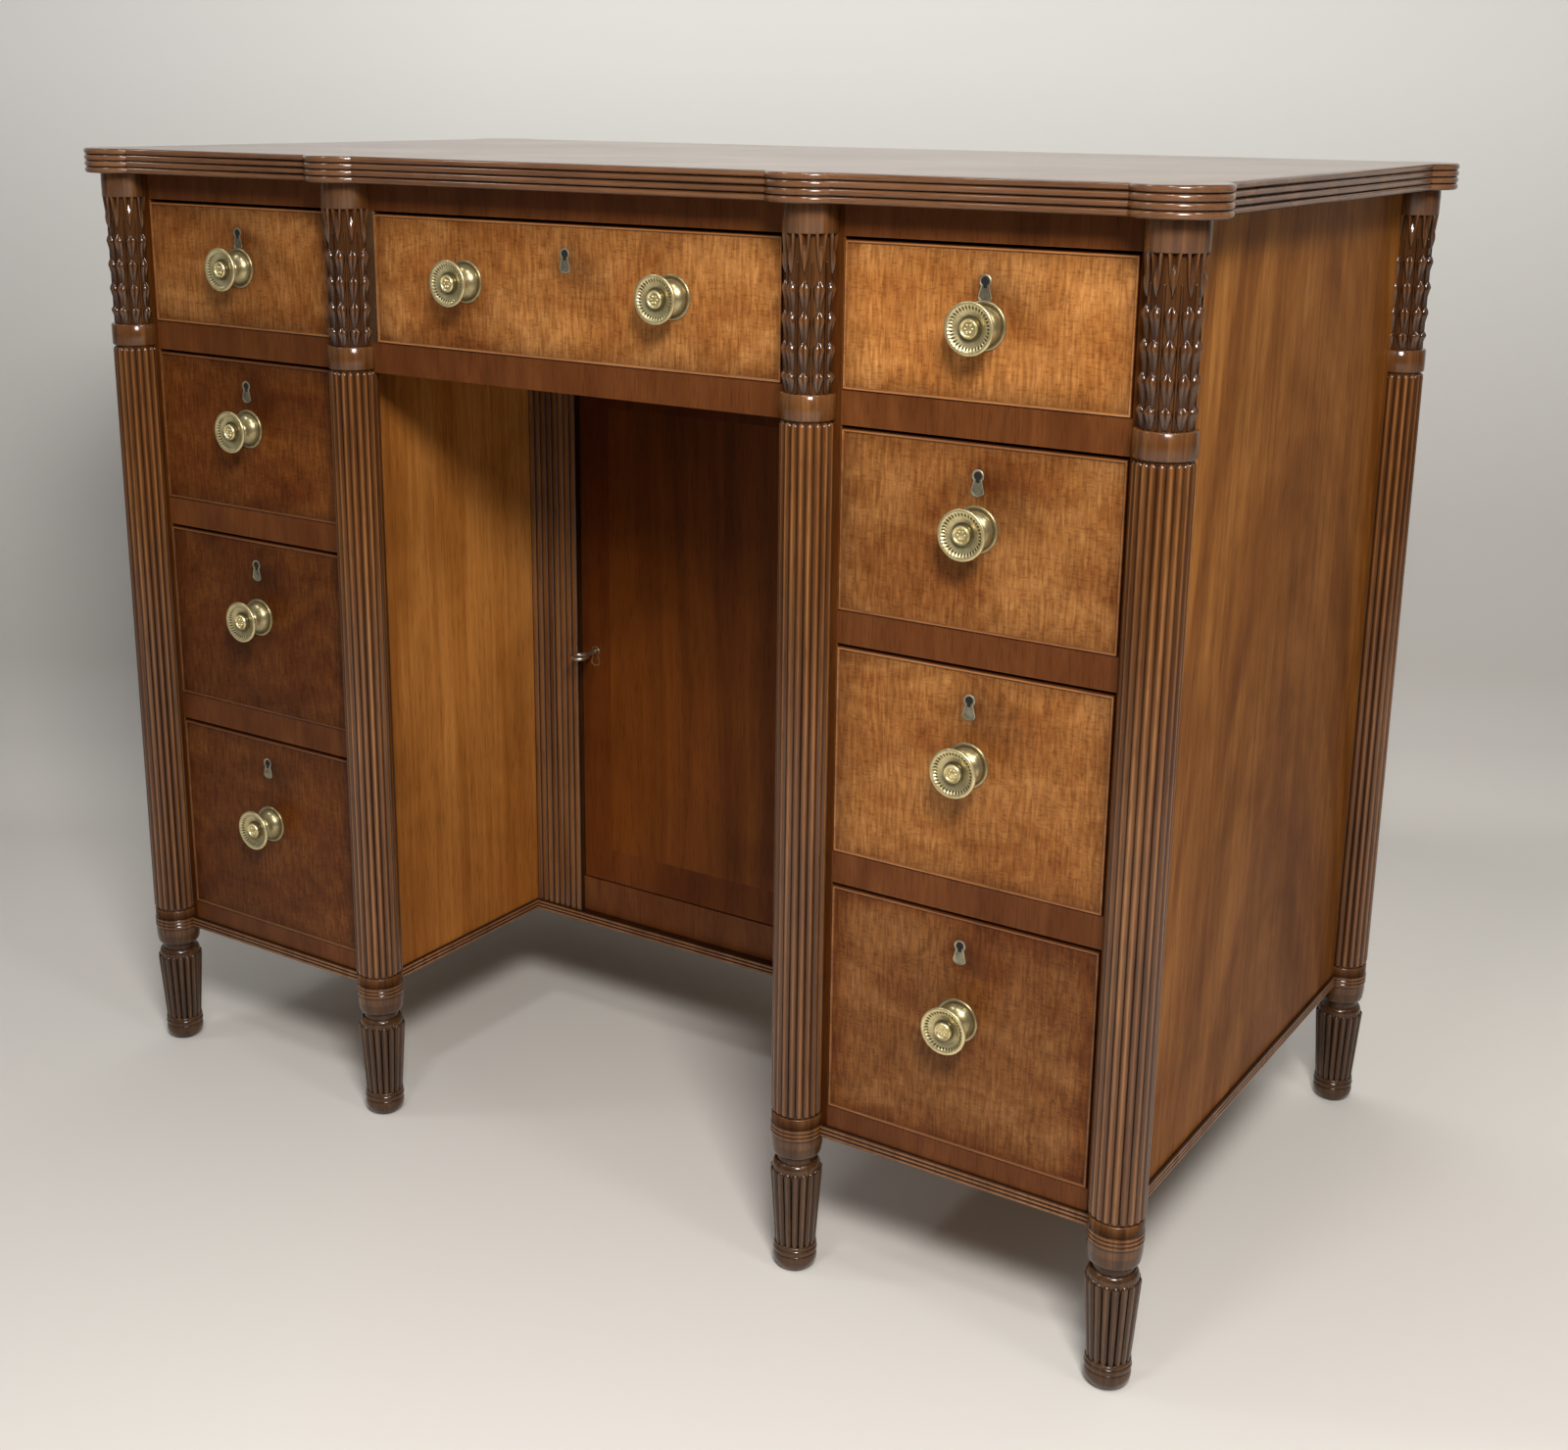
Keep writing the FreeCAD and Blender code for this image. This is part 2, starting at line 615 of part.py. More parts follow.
def build_rails():
    """Rails, runners and dust boards of both banks and of the centre drawer."""
    width = "(Places.bank_far_x - Places.bank_near_x)"
    for side in ("left", "right"):
        low_x = sided(side, "Places.bank_near_x", "Places.bank_far_x")
        rails = [rail(low_x, "Places.panel_bottom_z", width, "Sizes.base_rail_height")]
        runners = []
        for level in ("Places.bottom_rail_z", "Places.lower_rail_z", "Places.upper_rail_z"):
            rails.append(rail(low_x, level, width, "Sizes.drawer_rail_height"))
            runners += dust_board_and_runners(low_x, width, level, "Sizes.runner_width")
        rails.append(rail(low_x, "Places.top_rail_z", width, "Sizes.top_rail_height"))
        node("drawer_rails_" + side, *rails)
        node("drawer_runners_" + side, *runners)
    width = "2 * Places.knee_face_x"
    low_x = "-Places.knee_face_x"
    node("centre_rails", rail(low_x, "Places.upper_rail_z", width, "Sizes.drawer_rail_height"),
         rail(low_x, "Places.top_rail_z", width, "Sizes.top_rail_height"))
    runner_width = "Sizes.guide_width + Sizes.runner_width"
    node("centre_runners", *dust_board_and_runners(low_x, width, "Places.upper_rail_z", runner_width))
    guides = []
    for side in ("left", "right"):
        guides.append(board(sided(side, "Places.centre_half", "Places.knee_face_x"), "Places.front_y",
                            "Places.top_row_z", "Sizes.guide_width", "Places.back_inner_y - Places.front_y",
                            "Sizes.top_drawer_height"))
    node("centre_guides", *guides)


def moulding(x, y, length, angle):
    """A strip of base moulding along X before it is turned; its reeds carry on the rings of the posts."""
    body = doc.addObject("PartDesign::Body", "Moulding")
    sketch = new_sketch(body, "YZ_Plane")
    groove = "Sizes.base_moulding_reed_depth"
    points = [(groove, "0"), ("Places.moulding_width", "0")]
    points.append(("Places.moulding_width", "Sizes.base_moulding_height"))
    for index in range(count("ring_count")):
        level = "Sizes.base_moulding_height - Places.ring_height * %d" % index
        crest = "Sizes.base_moulding_height - Places.ring_height * %g" % (index + HALF_SHARE)
        points.append((groove, level, "0", crest))
    outline(sketch, points)
    pad = body.newObject("PartDesign::Pad", "Pad")
    pad.Profile = sketch
    bind(pad, Length=length)
    return place(turn(body, (0, 0, 1), angle), x, y, "Sizes.foot_height")


def build_base_moulding():
    """Base moulding under the front and sides of both banks, and under the cupboard."""
    reach = "(Sizes.post_radius + Sizes.butt_gap)"
    nose = "Sizes.base_moulding_projection"
    strips = []
    front_length = "Sizes.bank_axis_gap - 2 * " + reach
    side_length = "Sizes.depth_axis_gap - 2 * " + reach
    knee_back_y = "Places.back_inner_y"
    knee_length = "%s + Places.axis_y - %s" % (knee_back_y, reach)
    for side in ("left", "right"):
        low_x = sided(side, "Places.inner_axis_x + " + reach, "Places.outer_axis_x - " + reach)
        strips.append(moulding(low_x, "Places.front_y - " + nose, front_length, 0))
    strips.append(moulding("Places.side_face_x + " + nose, "-Places.axis_y + " + reach, side_length, 90))
    strips.append(moulding("-Places.side_face_x - " + nose, "Places.axis_y - " + reach, side_length, -90))
    strips.append(moulding("-Places.knee_face_x + " + nose, "-Places.axis_y + " + reach, knee_length, 90))
    strips.append(moulding("Places.knee_face_x - " + nose, knee_back_y, knee_length, -90))
    cupboard_half = "(Places.knee_face_x - %s)" % nose
    strips.append(moulding("-" + cupboard_half, "Places.cupboard_y - " + nose, "2 * " + cupboard_half, 0))
    node("base_moulding", *strips)


def reeded_stile(x):
    """A flat stile of the cupboard with reeds down its face."""
    reeds = count("stile_reed_count")
    points = [("0", "Sizes.stile_thickness")]
    for index in range(reeds):
        edge = "Sizes.stile_width * %d / Sizes.stile_reed_count" % index if index else "0"
        crest = "Sizes.stile_width * %g / Sizes.stile_reed_count" % (index + HALF_SHARE)
        points.append((edge, "Sizes.stile_reed_depth", crest, "0"))
    points.append(("Sizes.stile_width", "Sizes.stile_reed_depth"))
    points.append(("Sizes.stile_width", "Sizes.stile_thickness"))
    stile = padded("Places.upper_rail_z - Places.panel_bottom_z", points)
    return place(stile, x, "Places.cupboard_y", "Places.panel_bottom_z")


def build_cupboard():
    """The fixed front of the cupboard: reeded stiles, a rail below the door and a head above it."""
    node("cupboard_stile_left", reeded_stile("-Places.knee_face_x"))
    node("cupboard_stile_right", reeded_stile("Places.knee_face_x - Sizes.stile_width"))
    half = "(Places.knee_face_x - Sizes.stile_width)"
    rails = []
    for level, height in (("Places.panel_bottom_z", "Sizes.cupboard_rail_height"),
                          ("Places.head_z", "Sizes.cupboard_head_height")):
        rails.append(board("-" + half, "Places.door_y", level, "2 * " + half,
                           "Sizes.stile_thickness - Sizes.door_recess", height))
    node("cupboard_rails", *rails)
    bolt_middle = "Places.bolt_z + Sizes.bolt_height / 2"
    stile_back = "(Places.cupboard_y + Sizes.stile_thickness)"
    node("door_striker", board("-%s - Sizes.striker_width" % half, stile_back,
                               "%s - Sizes.striker_height / 2" % bolt_middle, "Sizes.striker_width",
                               "Places.bolt_y - Sizes.bolt_clearance - " + stile_back,
                               "Sizes.striker_height"))


def build_door():
    """The door: a frame round a flush panel, its lock case, and the key hole through both."""
    width = "Sizes.door_frame_width"
    frame = []
    for low_x in ("-Places.door_half", "Places.door_half - " + width):
        frame.append(board(low_x, "Places.door_y", "Places.door_z", width, "Sizes.door_thickness",
                           "Places.door_height"))
    hole = rod_to_front("Places.key_x", "Places.door_back_y + Sizes.overrun", "Places.key_z",
                        "Sizes.key_shank_radius + Sizes.key_clearance",
                        "Sizes.door_thickness + 2 * Sizes.overrun")
    frame[0] = cut(frame[0], hole)
    for level in ("Places.door_z", "Places.door_z + Places.door_height - " + width):
        frame.append(board("-Places.door_half + " + width, "Places.door_y", level,
                           "2 * Places.door_half - 2 * " + width, "Sizes.door_thickness", width))
    node("door_frame", *frame)
    node("door_panel", board("-Places.door_half + " + width, "Places.door_y", "Places.door_z + " + width,
                             "2 * Places.door_half - 2 * " + width, "Sizes.door_panel_thickness",
                             "Places.door_height - 2 * " + width))


def build_lock():
    """The door lock's case with its bolt channel and key well, the bolt, and the key."""
    case = board("Places.lock_x", "Places.door_back_y", "Places.key_z - Sizes.door_lock_height / 2",
                 "Sizes.door_lock_width", "Sizes.door_lock_depth", "Sizes.door_lock_height")
    room = "Sizes.bolt_clearance"
    channel = board("Places.lock_x - Sizes.overrun", "Places.bolt_y - " + room, "Places.bolt_z - " + room,
                    "Sizes.overrun + Sizes.bolt_length + " + room, "Sizes.bolt_thickness + 2 * " + room,
                    "Sizes.bolt_height + 2 * " + room)
    bit_depth = "(Sizes.key_bit_width + 2 * Sizes.key_clearance)"
    well = rod_to_front("Places.key_x", "Places.door_back_y + " + bit_depth, "Places.key_z",
                        "Sizes.key_bit_length + Sizes.key_clearance + Sizes.key_shank_radius / 2",
                        "Sizes.overrun + " + bit_depth)
    lining_z = "Places.key_z + Places.keyhole_head_radius - Sizes.keyhole_height / 2"
    lining = keyhole_lining("Places.key_x", "Places.door_y", lining_z)
    node("door_lock", cut(cut(case, channel), well), lining)
    node("door_bolt", board("Places.lock_x", "Places.bolt_y", "Places.bolt_z", "Sizes.bolt_length",
                            "Sizes.bolt_thickness", "Sizes.bolt_height"))
    tip_y = "Places.door_back_y + Sizes.key_clearance + Sizes.key_bit_width"
    shank_length = "Sizes.key_standoff + Sizes.door_thickness + Sizes.key_clearance + Sizes.key_bit_width"
    shank = rod_to_front("Places.key_x", tip_y, "Places.key_z", "Sizes.key_shank_radius", shank_length)
    bow = doc.addObject("Part::Torus", "Bow")
    bind(bow, Radius1="Sizes.key_bow_radius", Radius2="Sizes.key_bow_wire_radius")
    place(bow, "Places.key_x", "Places.door_y - Sizes.key_standoff - Sizes.key_bow_radius", "Places.key_z")
    bit_z = "Places.key_z - Sizes.key_bit_thickness / 2"
    bit = board("Places.key_x", tip_y + " - Sizes.key_bit_width", bit_z,
                "Sizes.key_bit_length", "Sizes.key_bit_width", "Sizes.key_bit_thickness")
    node("door_key", fuse(shank, bow, bit))


def hinge_leaves(z):
    """One butt hinge: the case leaf with its two knuckles and pin, and the door leaf with its knuckle."""
    third = "Places.knuckle_height"
    gap = "Sizes.knuckle_gap"
    thickness = "Sizes.hinge_leaf_thickness"
    strap = "(Sizes.knuckle_radius + Sizes.knuckle_gap)"
    stile_x = "(Places.door_half + Sizes.door_gap - %s)" % thickness
    door_x = "Places.door_half"
    top_z = "%s + 2 * %s" % (z, third)
    case = [board(stile_x, "Places.door_y", z, thickness, "Sizes.hinge_leaf_depth", "Sizes.hinge_height"),
            rod("Places.hinge_x", "Places.hinge_y", z, "Sizes.hinge_pin_radius", "Sizes.hinge_height")]
    reach = "%s + %s - Places.hinge_x" % (stile_x, thickness)
    for level in (z, top_z):
        case.append(rod("Places.hinge_x", "Places.hinge_y", level, "Sizes.knuckle_radius", third))
        case.append(board("Places.hinge_x", "Places.hinge_y", level, reach, thickness, third))
        case.append(board(stile_x, "Places.hinge_y", level, thickness, strap, third))
    middle_z = "%s + %s + %s" % (z, third, gap)
    middle_height = "%s - 2 * %s" % (third, gap)
    knuckle = [rod("Places.hinge_x", "Places.hinge_y", middle_z, "Sizes.knuckle_radius", middle_height),
               board(door_x, "Places.door_y", z, thickness, "Sizes.hinge_leaf_depth", "Sizes.hinge_height"),
               board(door_x, "Places.hinge_y", middle_z, thickness, strap, middle_height)]
    bore = rod("Places.hinge_x", "Places.hinge_y", "%s - Sizes.overrun" % z,
               "Sizes.hinge_pin_radius + Sizes.hinge_pin_clearance",
               "Sizes.hinge_height + 2 * Sizes.overrun")
    return fuse(*case), cut(fuse(*knuckle), bore)


def build_hinges():
    """Two hinges at the right edge of the door."""
    low = hinge_leaves("Places.door_z + Sizes.hinge_inset")
    high = hinge_leaves("Places.door_z + Places.door_height - Sizes.hinge_inset - Sizes.hinge_height")
    node("hinge_case_leaves", low[0], high[0])
    node("hinge_door_leaves", low[1], high[1])


def facing_front(body, x, y, z):
    """Stand a body that was made lying on its back up to face the front."""
    return place(turn(body, (1, 0, 0), 90), x, y, z)


def pull_and_rose(x, z):
    """A brass pull with a dished, bossed disc on a waisted stem, and the domed rose behind it."""
    back = "Sizes.rose_thickness"
    front = "Sizes.pull_projection"
    rim_back = "Sizes.pull_projection - Sizes.pull_disc_thickness"
    waist_z = "%s + (%s - %s) * %g" % (back, rim_back, back, PULL_WAIST_SHARE)
    dish = "%s - Sizes.pull_dish_depth" % front
    rim_middle = "%s - Sizes.pull_disc_thickness * %g" % (front, HALF_SHARE)
    rim = "Sizes.pull_radius - Sizes.pull_rim_width * %g" % HALF_SHARE
    pull = turned([
        ("0", back),
        ("Sizes.pull_foot_radius", back),
        rounded("Sizes.pull_waist_radius", waist_z, rim, rim_back),
        (rim, rim_back, "Sizes.pull_radius", rim_middle),
        (rim, front),
        ("Sizes.pull_radius - Sizes.pull_rim_width", dish),
        ("Sizes.pull_boss_radius", dish),
        ("0", front),
    ])
    rose = turned([
        ("0", "0"),
        ("Sizes.rose_radius", "0"),
        ("Sizes.rose_radius", "Sizes.rose_rim_thickness"),
        rounded("Sizes.rose_dome_radius", "Sizes.rose_rim_thickness", "Sizes.pull_foot_radius", back),
        ("Sizes.pull_foot_radius", back),
        ("0", back),
    ])
    return [facing_front(piece, x, "Places.front_y", z) for piece in (pull, rose)]


def keyhole_loop(inset):
    """Outline of a keyhole drawn in by an inset: a round head and a flared foot, its middle at the origin."""
    half = "(Sizes.keyhole_height * %g)" % HALF_SHARE
    neck = "(Sizes.keyhole_neck_half_width - %s)" % inset
    foot = "(Sizes.keyhole_foot_half_width - %s)" % inset
    neck_z = "%s - Sizes.keyhole_neck_drop" % half
    foot_z = "Sizes.keyhole_foot_rise - %s" % half
    return [
        ("-" + foot, foot_z, "0", "%s - %s" % (inset, half)),
        (foot, foot_z),
        (neck, neck_z, "0", "%s - %s" % (half, inset)),
        ("-" + neck, neck_z),
    ]


def keyhole_lining(x, y, z):
    """A thin brass lining round a keyhole, its middle at the given place."""
    wall = "Sizes.keyhole_lining_wall"
    lining = padded("Sizes.keyhole_lining_thickness", keyhole_loop("0"), keyhole_loop(wall))
    return facing_front(lining, x, y, z)


def drawer(label, low_x, width, row_z, height, pull_xs, pull_share):
    """A drawer: beaded front, box of four boards, and its pulls, keyhole lining and lock."""
    x = "(%s + Sizes.drawer_side_clearance)" % low_x
    wide = "(%s - 2 * Sizes.drawer_side_clearance)" % width
    z = "(%s + Sizes.drawer_running_clearance)" % row_z
    tall = "(%s - Sizes.drawer_running_clearance - Sizes.drawer_top_clearance)" % height
    bead = "Sizes.bead_width"
    bead_y = "Places.front_y - Sizes.bead_projection"
    bead_depth = "Sizes.front_thickness + Sizes.bead_projection"
    inner_tall = "%s - 2 * %s" % (tall, bead)
    node(label + "_front",
         board("%s + %s" % (x, bead), "Places.front_y", "%s + %s" % (z, bead), "%s - 2 * %s" % (wide, bead),
               "Sizes.front_thickness", inner_tall),
         board(x, bead_y, z, wide, bead_depth, bead),
         board(x, bead_y, "%s + %s - %s" % (z, tall, bead), wide, bead_depth, bead),
         board(x, bead_y, "%s + %s" % (z, bead), bead, bead_depth, inner_tall),
         board("%s + %s - %s" % (x, wide, bead), bead_y, "%s + %s" % (z, bead), bead, bead_depth, inner_tall))
    side = "Sizes.drawer_side_thickness"
    start = "(Places.front_y + Sizes.front_thickness)"
    length = "(Places.drawer_tail_y - %s)" % start
    side_tall = "(%s - Sizes.drawer_side_drop)" % tall
    floor_z = "(%s + Sizes.drawer_bottom_rise)" % z
    between = "%s - 2 * %s" % (wide, side)
    back_z = "(%s + Sizes.drawer_bottom_thickness)" % floor_z
    node(label + "_box",
         board(x, start, z, side, length, side_tall),
         board("%s + %s - %s" % (x, wide, side), start, z, side, length, side_tall),
         board("%s + %s" % (x, side), start, floor_z, between, length, "Sizes.drawer_bottom_thickness"),
         board("%s + %s" % (x, side), "Places.drawer_tail_y - " + side, back_z, between, side,
               "%s + %s - %s" % (z, side_tall, back_z)))
    middle_x = "(%s + %s * %g)" % (x, wide, HALF_SHARE)
    fittings = []
    for pull_x in pull_xs:
        fittings += pull_and_rose(pull_x, "%s + %s * %g" % (row_z, height, pull_share))
    keyhole_z = "%s + %s - Sizes.keyhole_drop" % (row_z, height)
    fittings.append(keyhole_lining(middle_x, "Places.front_y", keyhole_z))
    lock_z = "%s + %s - Sizes.drawer_lock_drop - Sizes.drawer_lock_height" % (z, tall)
    fittings.append(board("%s - Sizes.drawer_lock_width / 2" % middle_x, start, lock_z,
                          "Sizes.drawer_lock_width", "Sizes.drawer_lock_depth", "Sizes.drawer_lock_height"))
    node(label + "_fittings", *fittings)


def build_drawers():
    """Four graduated drawers in each bank, and the wide one over the kneehole."""
    width = "(Places.bank_far_x - Places.bank_near_x)"
    for side in ("left", "right"):
        low_x = sided(side, "Places.bank_near_x", "Places.bank_far_x")
        centre_x = "Places.bank_centre_x" if side == "right" else "-Places.bank_centre_x"
        for row, share in PULL_HEIGHT_SHARES.items():
            drawer("drawer_%s_%s" % (side, row), low_x, width, "Places.%s_row_z" % row,
                   "Sizes.%s_drawer_height" % row, [centre_x], share)
    drawer("drawer_centre", "-Places.centre_half", "(2 * Places.centre_half)", "Places.top_row_z",
           "Sizes.top_drawer_height", ["-Sizes.centre_pull_offset", "Sizes.centre_pull_offset"],
           CENTRE_PULL_HEIGHT_SHARE)


build_top()
build_posts()
build_panels()
build_rails()
build_base_moulding()
build_cupboard()
build_door()
build_lock()
build_hinges()
build_drawers()
doc.recompute()

for item in doc.Objects:
    if "Invalid" in item.State or "Error" in item.State:
        raise RuntimeError("%s failed: %s" % (item.Label, item.State))
for piece in nodes:
    if piece.Shape.isNull() or not piece.Shape.isValid():
        raise RuntimeError("%s has no valid shape" % piece.Label)

os.makedirs("parts", exist_ok=True)
for piece in nodes:
    piece.Shape.exportStep("parts/%s.step" % piece.Label)
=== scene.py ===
import json
import math
import random

import bmesh
import bpy
from mathutils import Matrix, Vector

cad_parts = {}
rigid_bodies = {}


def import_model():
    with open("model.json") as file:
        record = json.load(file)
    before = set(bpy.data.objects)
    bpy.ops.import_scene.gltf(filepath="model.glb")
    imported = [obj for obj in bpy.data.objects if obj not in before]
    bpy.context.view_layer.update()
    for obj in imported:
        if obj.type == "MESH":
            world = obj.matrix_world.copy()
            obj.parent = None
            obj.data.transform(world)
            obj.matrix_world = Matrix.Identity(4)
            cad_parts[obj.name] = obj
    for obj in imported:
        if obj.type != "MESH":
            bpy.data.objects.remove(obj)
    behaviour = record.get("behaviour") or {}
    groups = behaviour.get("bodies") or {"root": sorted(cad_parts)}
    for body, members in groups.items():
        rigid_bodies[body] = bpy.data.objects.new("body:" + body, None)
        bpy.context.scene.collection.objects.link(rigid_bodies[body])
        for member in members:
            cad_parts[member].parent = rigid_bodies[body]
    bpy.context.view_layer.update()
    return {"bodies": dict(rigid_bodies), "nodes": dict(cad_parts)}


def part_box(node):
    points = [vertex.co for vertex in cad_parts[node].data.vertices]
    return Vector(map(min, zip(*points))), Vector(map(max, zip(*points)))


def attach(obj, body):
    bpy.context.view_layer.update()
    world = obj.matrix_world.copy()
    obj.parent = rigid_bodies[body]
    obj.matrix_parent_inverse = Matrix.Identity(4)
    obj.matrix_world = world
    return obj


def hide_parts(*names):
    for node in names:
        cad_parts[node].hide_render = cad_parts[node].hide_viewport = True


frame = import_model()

scene = bpy.context.scene
MM = 0.001

# Side boards and kneehole boards. Wide boards of golden mahogany with an upright grain, flaming at
# the sides, paler and straight in the kneehole, glued between the posts and polished to a soft shine.


def shader(name):
    """A new material, with its node tree and its surface node."""
    material = bpy.data.materials.new(name)
    material.use_nodes = True
    tree = material.node_tree
    return material, tree, tree.nodes["Principled BSDF"]


def feed(tree, made, inputs):
    """Set a node's inputs, by name or number, or link them to the outputs given for them."""
    for label, source in inputs.items():
        if isinstance(source, bpy.types.NodeSocket):
            tree.links.new(source, made.inputs[label])
        else:
            made.inputs[label].default_value = source


def node(tree, kind, inputs=None, **settings):
    """Add a node, set its own options and feed its inputs."""
    made = tree.nodes.new(kind)
    for option, setting in settings.items():
        setattr(made, option, setting)
    feed(tree, made, inputs or {})
    return made


def grain_noise(tree, coordinates, cycles, detail=4.0, roughness=0.55, distortion=0.0):
    """Noise with so many cycles to the metre along X, Y and Z: few along the grain, many across it."""
    mapping = node(tree, "ShaderNodeMapping", {"Vector": coordinates, "Scale": cycles})
    noise = node(tree, "ShaderNodeTexNoise", {
        "Vector": mapping.outputs["Vector"], "Scale": 1.0, "Detail": detail, "Roughness": roughness,
        "Distortion": distortion})
    return noise.outputs["Fac"]


def ramp(tree, factor, *stops):
    """Colours over a factor; each stop is a place and a colour."""
    made = node(tree, "ShaderNodeValToRGB", {"Fac": factor})
    elements = made.color_ramp.elements
    while len(elements) < len(stops):
        elements.new(1.0)
    for element, (place, colour) in zip(elements, stops):
        element.position = place
        element.color = (*colour, 1.0)
    return made.outputs["Color"]


MIX_FIRST = 6
MIX_SECOND = 7
MIX_RESULT = 2


def stained_and_shaded(tree, amount, colour, stain):
    """A colour multiplied by a layer, real stain and painted shade alike, by so much of it; a Mix node's
    colours are known by number.
    """
    mix = node(tree, "ShaderNodeMix", {"Factor": amount, MIX_FIRST: colour, MIX_SECOND: stain},
               data_type="RGBA", blend_type="MULTIPLY")
    return mix.outputs[MIX_RESULT]


def arithmetic(tree, operation, *terms):
    """What a Math node makes of outputs and numbers."""
    return node(tree, "ShaderNodeMath", dict(enumerate(terms)), operation=operation).outputs[0]


def split(tree, vector):
    """The X, Y and Z of a vector, by name."""
    return node(tree, "ShaderNodeSeparateXYZ", {"Vector": vector}).outputs


def wear_and_shading_share(tree):
    """How worn and how shaded a mesh says that it is; the shading is painted highlight and painted shade.
    """
    return node(tree, "ShaderNodeAttribute", attribute_name="wear_and_shading").outputs["Fac"]


def share_between(tree, place, low, high):
    """How far a place is on its way from low to high."""
    return arithmetic(tree, "DIVIDE", arithmetic(tree, "SUBTRACT", place, low), high - low)


FLAME_SWEEP = 11.0
FLAME_CYCLES = (8.0, 8.0, 1.0)


def flame(tree, coordinates, centre):
    """Arched grain lines about an upright centre line, as on a board sawn through the heart."""
    places = split(tree, coordinates)
    aside = arithmetic(tree, "SUBTRACT", places["Y"], centre)
    arch = arithmetic(tree, "MULTIPLY", aside, arithmetic(tree, "MULTIPLY", aside, FLAME_SWEEP))
    growth = node(tree, "ShaderNodeCombineXYZ", {
        "X": arithmetic(tree, "ADD", places["Z"], arch), "Y": places["Y"]})
    return grain_noise(tree, growth.outputs["Vector"], FLAME_CYCLES, 7.0, 0.60, 0.25)


PLAIN = (1.0, 1.0, 1.0)
TONE_PLACES = (0.32, 0.50, 0.68)
CLOUD_CYCLES = (7.0, 7.0, 7.0)
CLOUD_STAIN = ((0.34, (0.66, 0.62, 0.58)), (0.64, (1.10, 1.10, 1.10)))
RIPPLE_STAIN = ((0.36, (0.62, 0.54, 0.46)), (0.50, (0.95, 0.92, 0.88)), (0.66, (1.32, 1.38, 1.45)))
PORE_STAIN = ((0.33, (0.45, 0.38, 0.33)), (0.46, PLAIN))
PORE_DEPTH = 0.4 * MM
POLISH_ROUGHNESS = 0.14


def mahogany(name, tones, grain, pores, figure=None, ripple=0.80, gloss=0.36, polish=0.0, lustre=0.2,
             wear_and_shading=None, reeds=None, heart=None, shading_fades=(), edge=None):
    """Polished mahogany in three tones, dark to light.
    grain, pores and figure are cycles to the metre, and ripple is how strong the figure is.
    lustre is how much the bare wood mirrors, and polish how much of it is under a hard polish.
    The hollow-to-crest ramp colours the wood from the hollows to the crests, of a mesh that says how worn
    and how shaded it is or of even reeds or planks with an axis, a start and a pitch; on reeds and
    carving it is partly worn polish and grime and partly painted shade and painted highlight. heart is
    the centre line of a flame, a shading fade is painted light and shade from one place along an axis to
    another, and edge is painted shade on what looks to the front."""
    material, tree, surface = shader(name)
    placing = node(tree, "ShaderNodeTexCoord").outputs
    coordinates = placing["Object"]
    places = split(tree, coordinates)
    if heart is None:
        stripes = grain_noise(tree, coordinates, grain, 5.0, 0.62, 0.9)
    else:
        stripes = flame(tree, coordinates, heart)
    cloud = grain_noise(tree, coordinates, CLOUD_CYCLES, 3.0, 0.6, 0.5)
    stains_and_shades = [(0.65, ramp(tree, cloud, *CLOUD_STAIN))]
    if figure:
        waves = grain_noise(tree, coordinates, figure, 3.0, 0.62, 0.4)
        stains_and_shades.append((ripple, ramp(tree, waves, *RIPPLE_STAIN)))
    fine = grain_noise(tree, coordinates, pores, 2.0, 0.5)
    stains_and_shades.append((0.45, ramp(tree, fine, *PORE_STAIN)))
    if reeds:
        axis, start, pitch = reeds
        along = arithmetic(tree, "SUBTRACT", places[axis], start)
        wave = arithmetic(tree, "SINE", arithmetic(tree, "MULTIPLY", along, math.pi / pitch))
        stains_and_shades.append((1.0, ramp(tree, arithmetic(tree, "ABSOLUTE", wave), *wear_and_shading)))
    elif wear_and_shading:
        stains_and_shades.append((1.0, ramp(tree, wear_and_shading_share(tree), *wear_and_shading)))
    for axis, low, high, low_shading, high_shading in shading_fades:
        share = share_between(tree, places[axis], low, high)
        stains_and_shades.append((1.0, ramp(tree, share, (0.0, low_shading), (1.0, high_shading))))
    # Painted shade: faces that look to the front are darkened.
    if edge:
        turned = arithmetic(tree, "MULTIPLY_ADD", split(tree, placing["Normal"])["Y"], 0.5, 0.5)
        stains_and_shades.append((1.0, ramp(tree, turned, (0.04, edge), (0.10, PLAIN))))
    colour = ramp(tree, stripes, *zip(TONE_PLACES, tones))
    for amount, stain in stains_and_shades:
        colour = stained_and_shaded(tree, amount, colour, stain)
    relief = node(tree, "ShaderNodeBump", {"Strength": 0.10, "Distance": PORE_DEPTH, "Height": fine})
    feed(tree, surface, {
        "Base Color": colour,
        "Roughness": ramp(tree, cloud, (0.3, (gloss + 0.08,) * 3), (0.7, (gloss,) * 3)),
        "Specular IOR Level": lustre,
        "Coat Weight": polish,
        "Coat Roughness": POLISH_ROUGHNESS,
        "Normal": relief.outputs["Normal"]})
    return material


def paint(material, *names):
    """Give CAD nodes a finish."""
    for name in names:
        mesh = frame["nodes"][name].data
        mesh.materials.clear()
        mesh.materials.append(material)


UPRIGHT_GRAIN = (26.0, 26.0, 1.3)
UPRIGHT_PORES = (850.0, 850.0, 55.0)
KNEEHOLE_GRAIN = (15.0, 15.0, 0.9)
BOARD_STREAKS = (170.0, 170.0, 5.0)
# Painted shade for the front edges of the boards and the oak.
FRONT_EDGE_SHADE = (0.26, 0.20, 0.17)
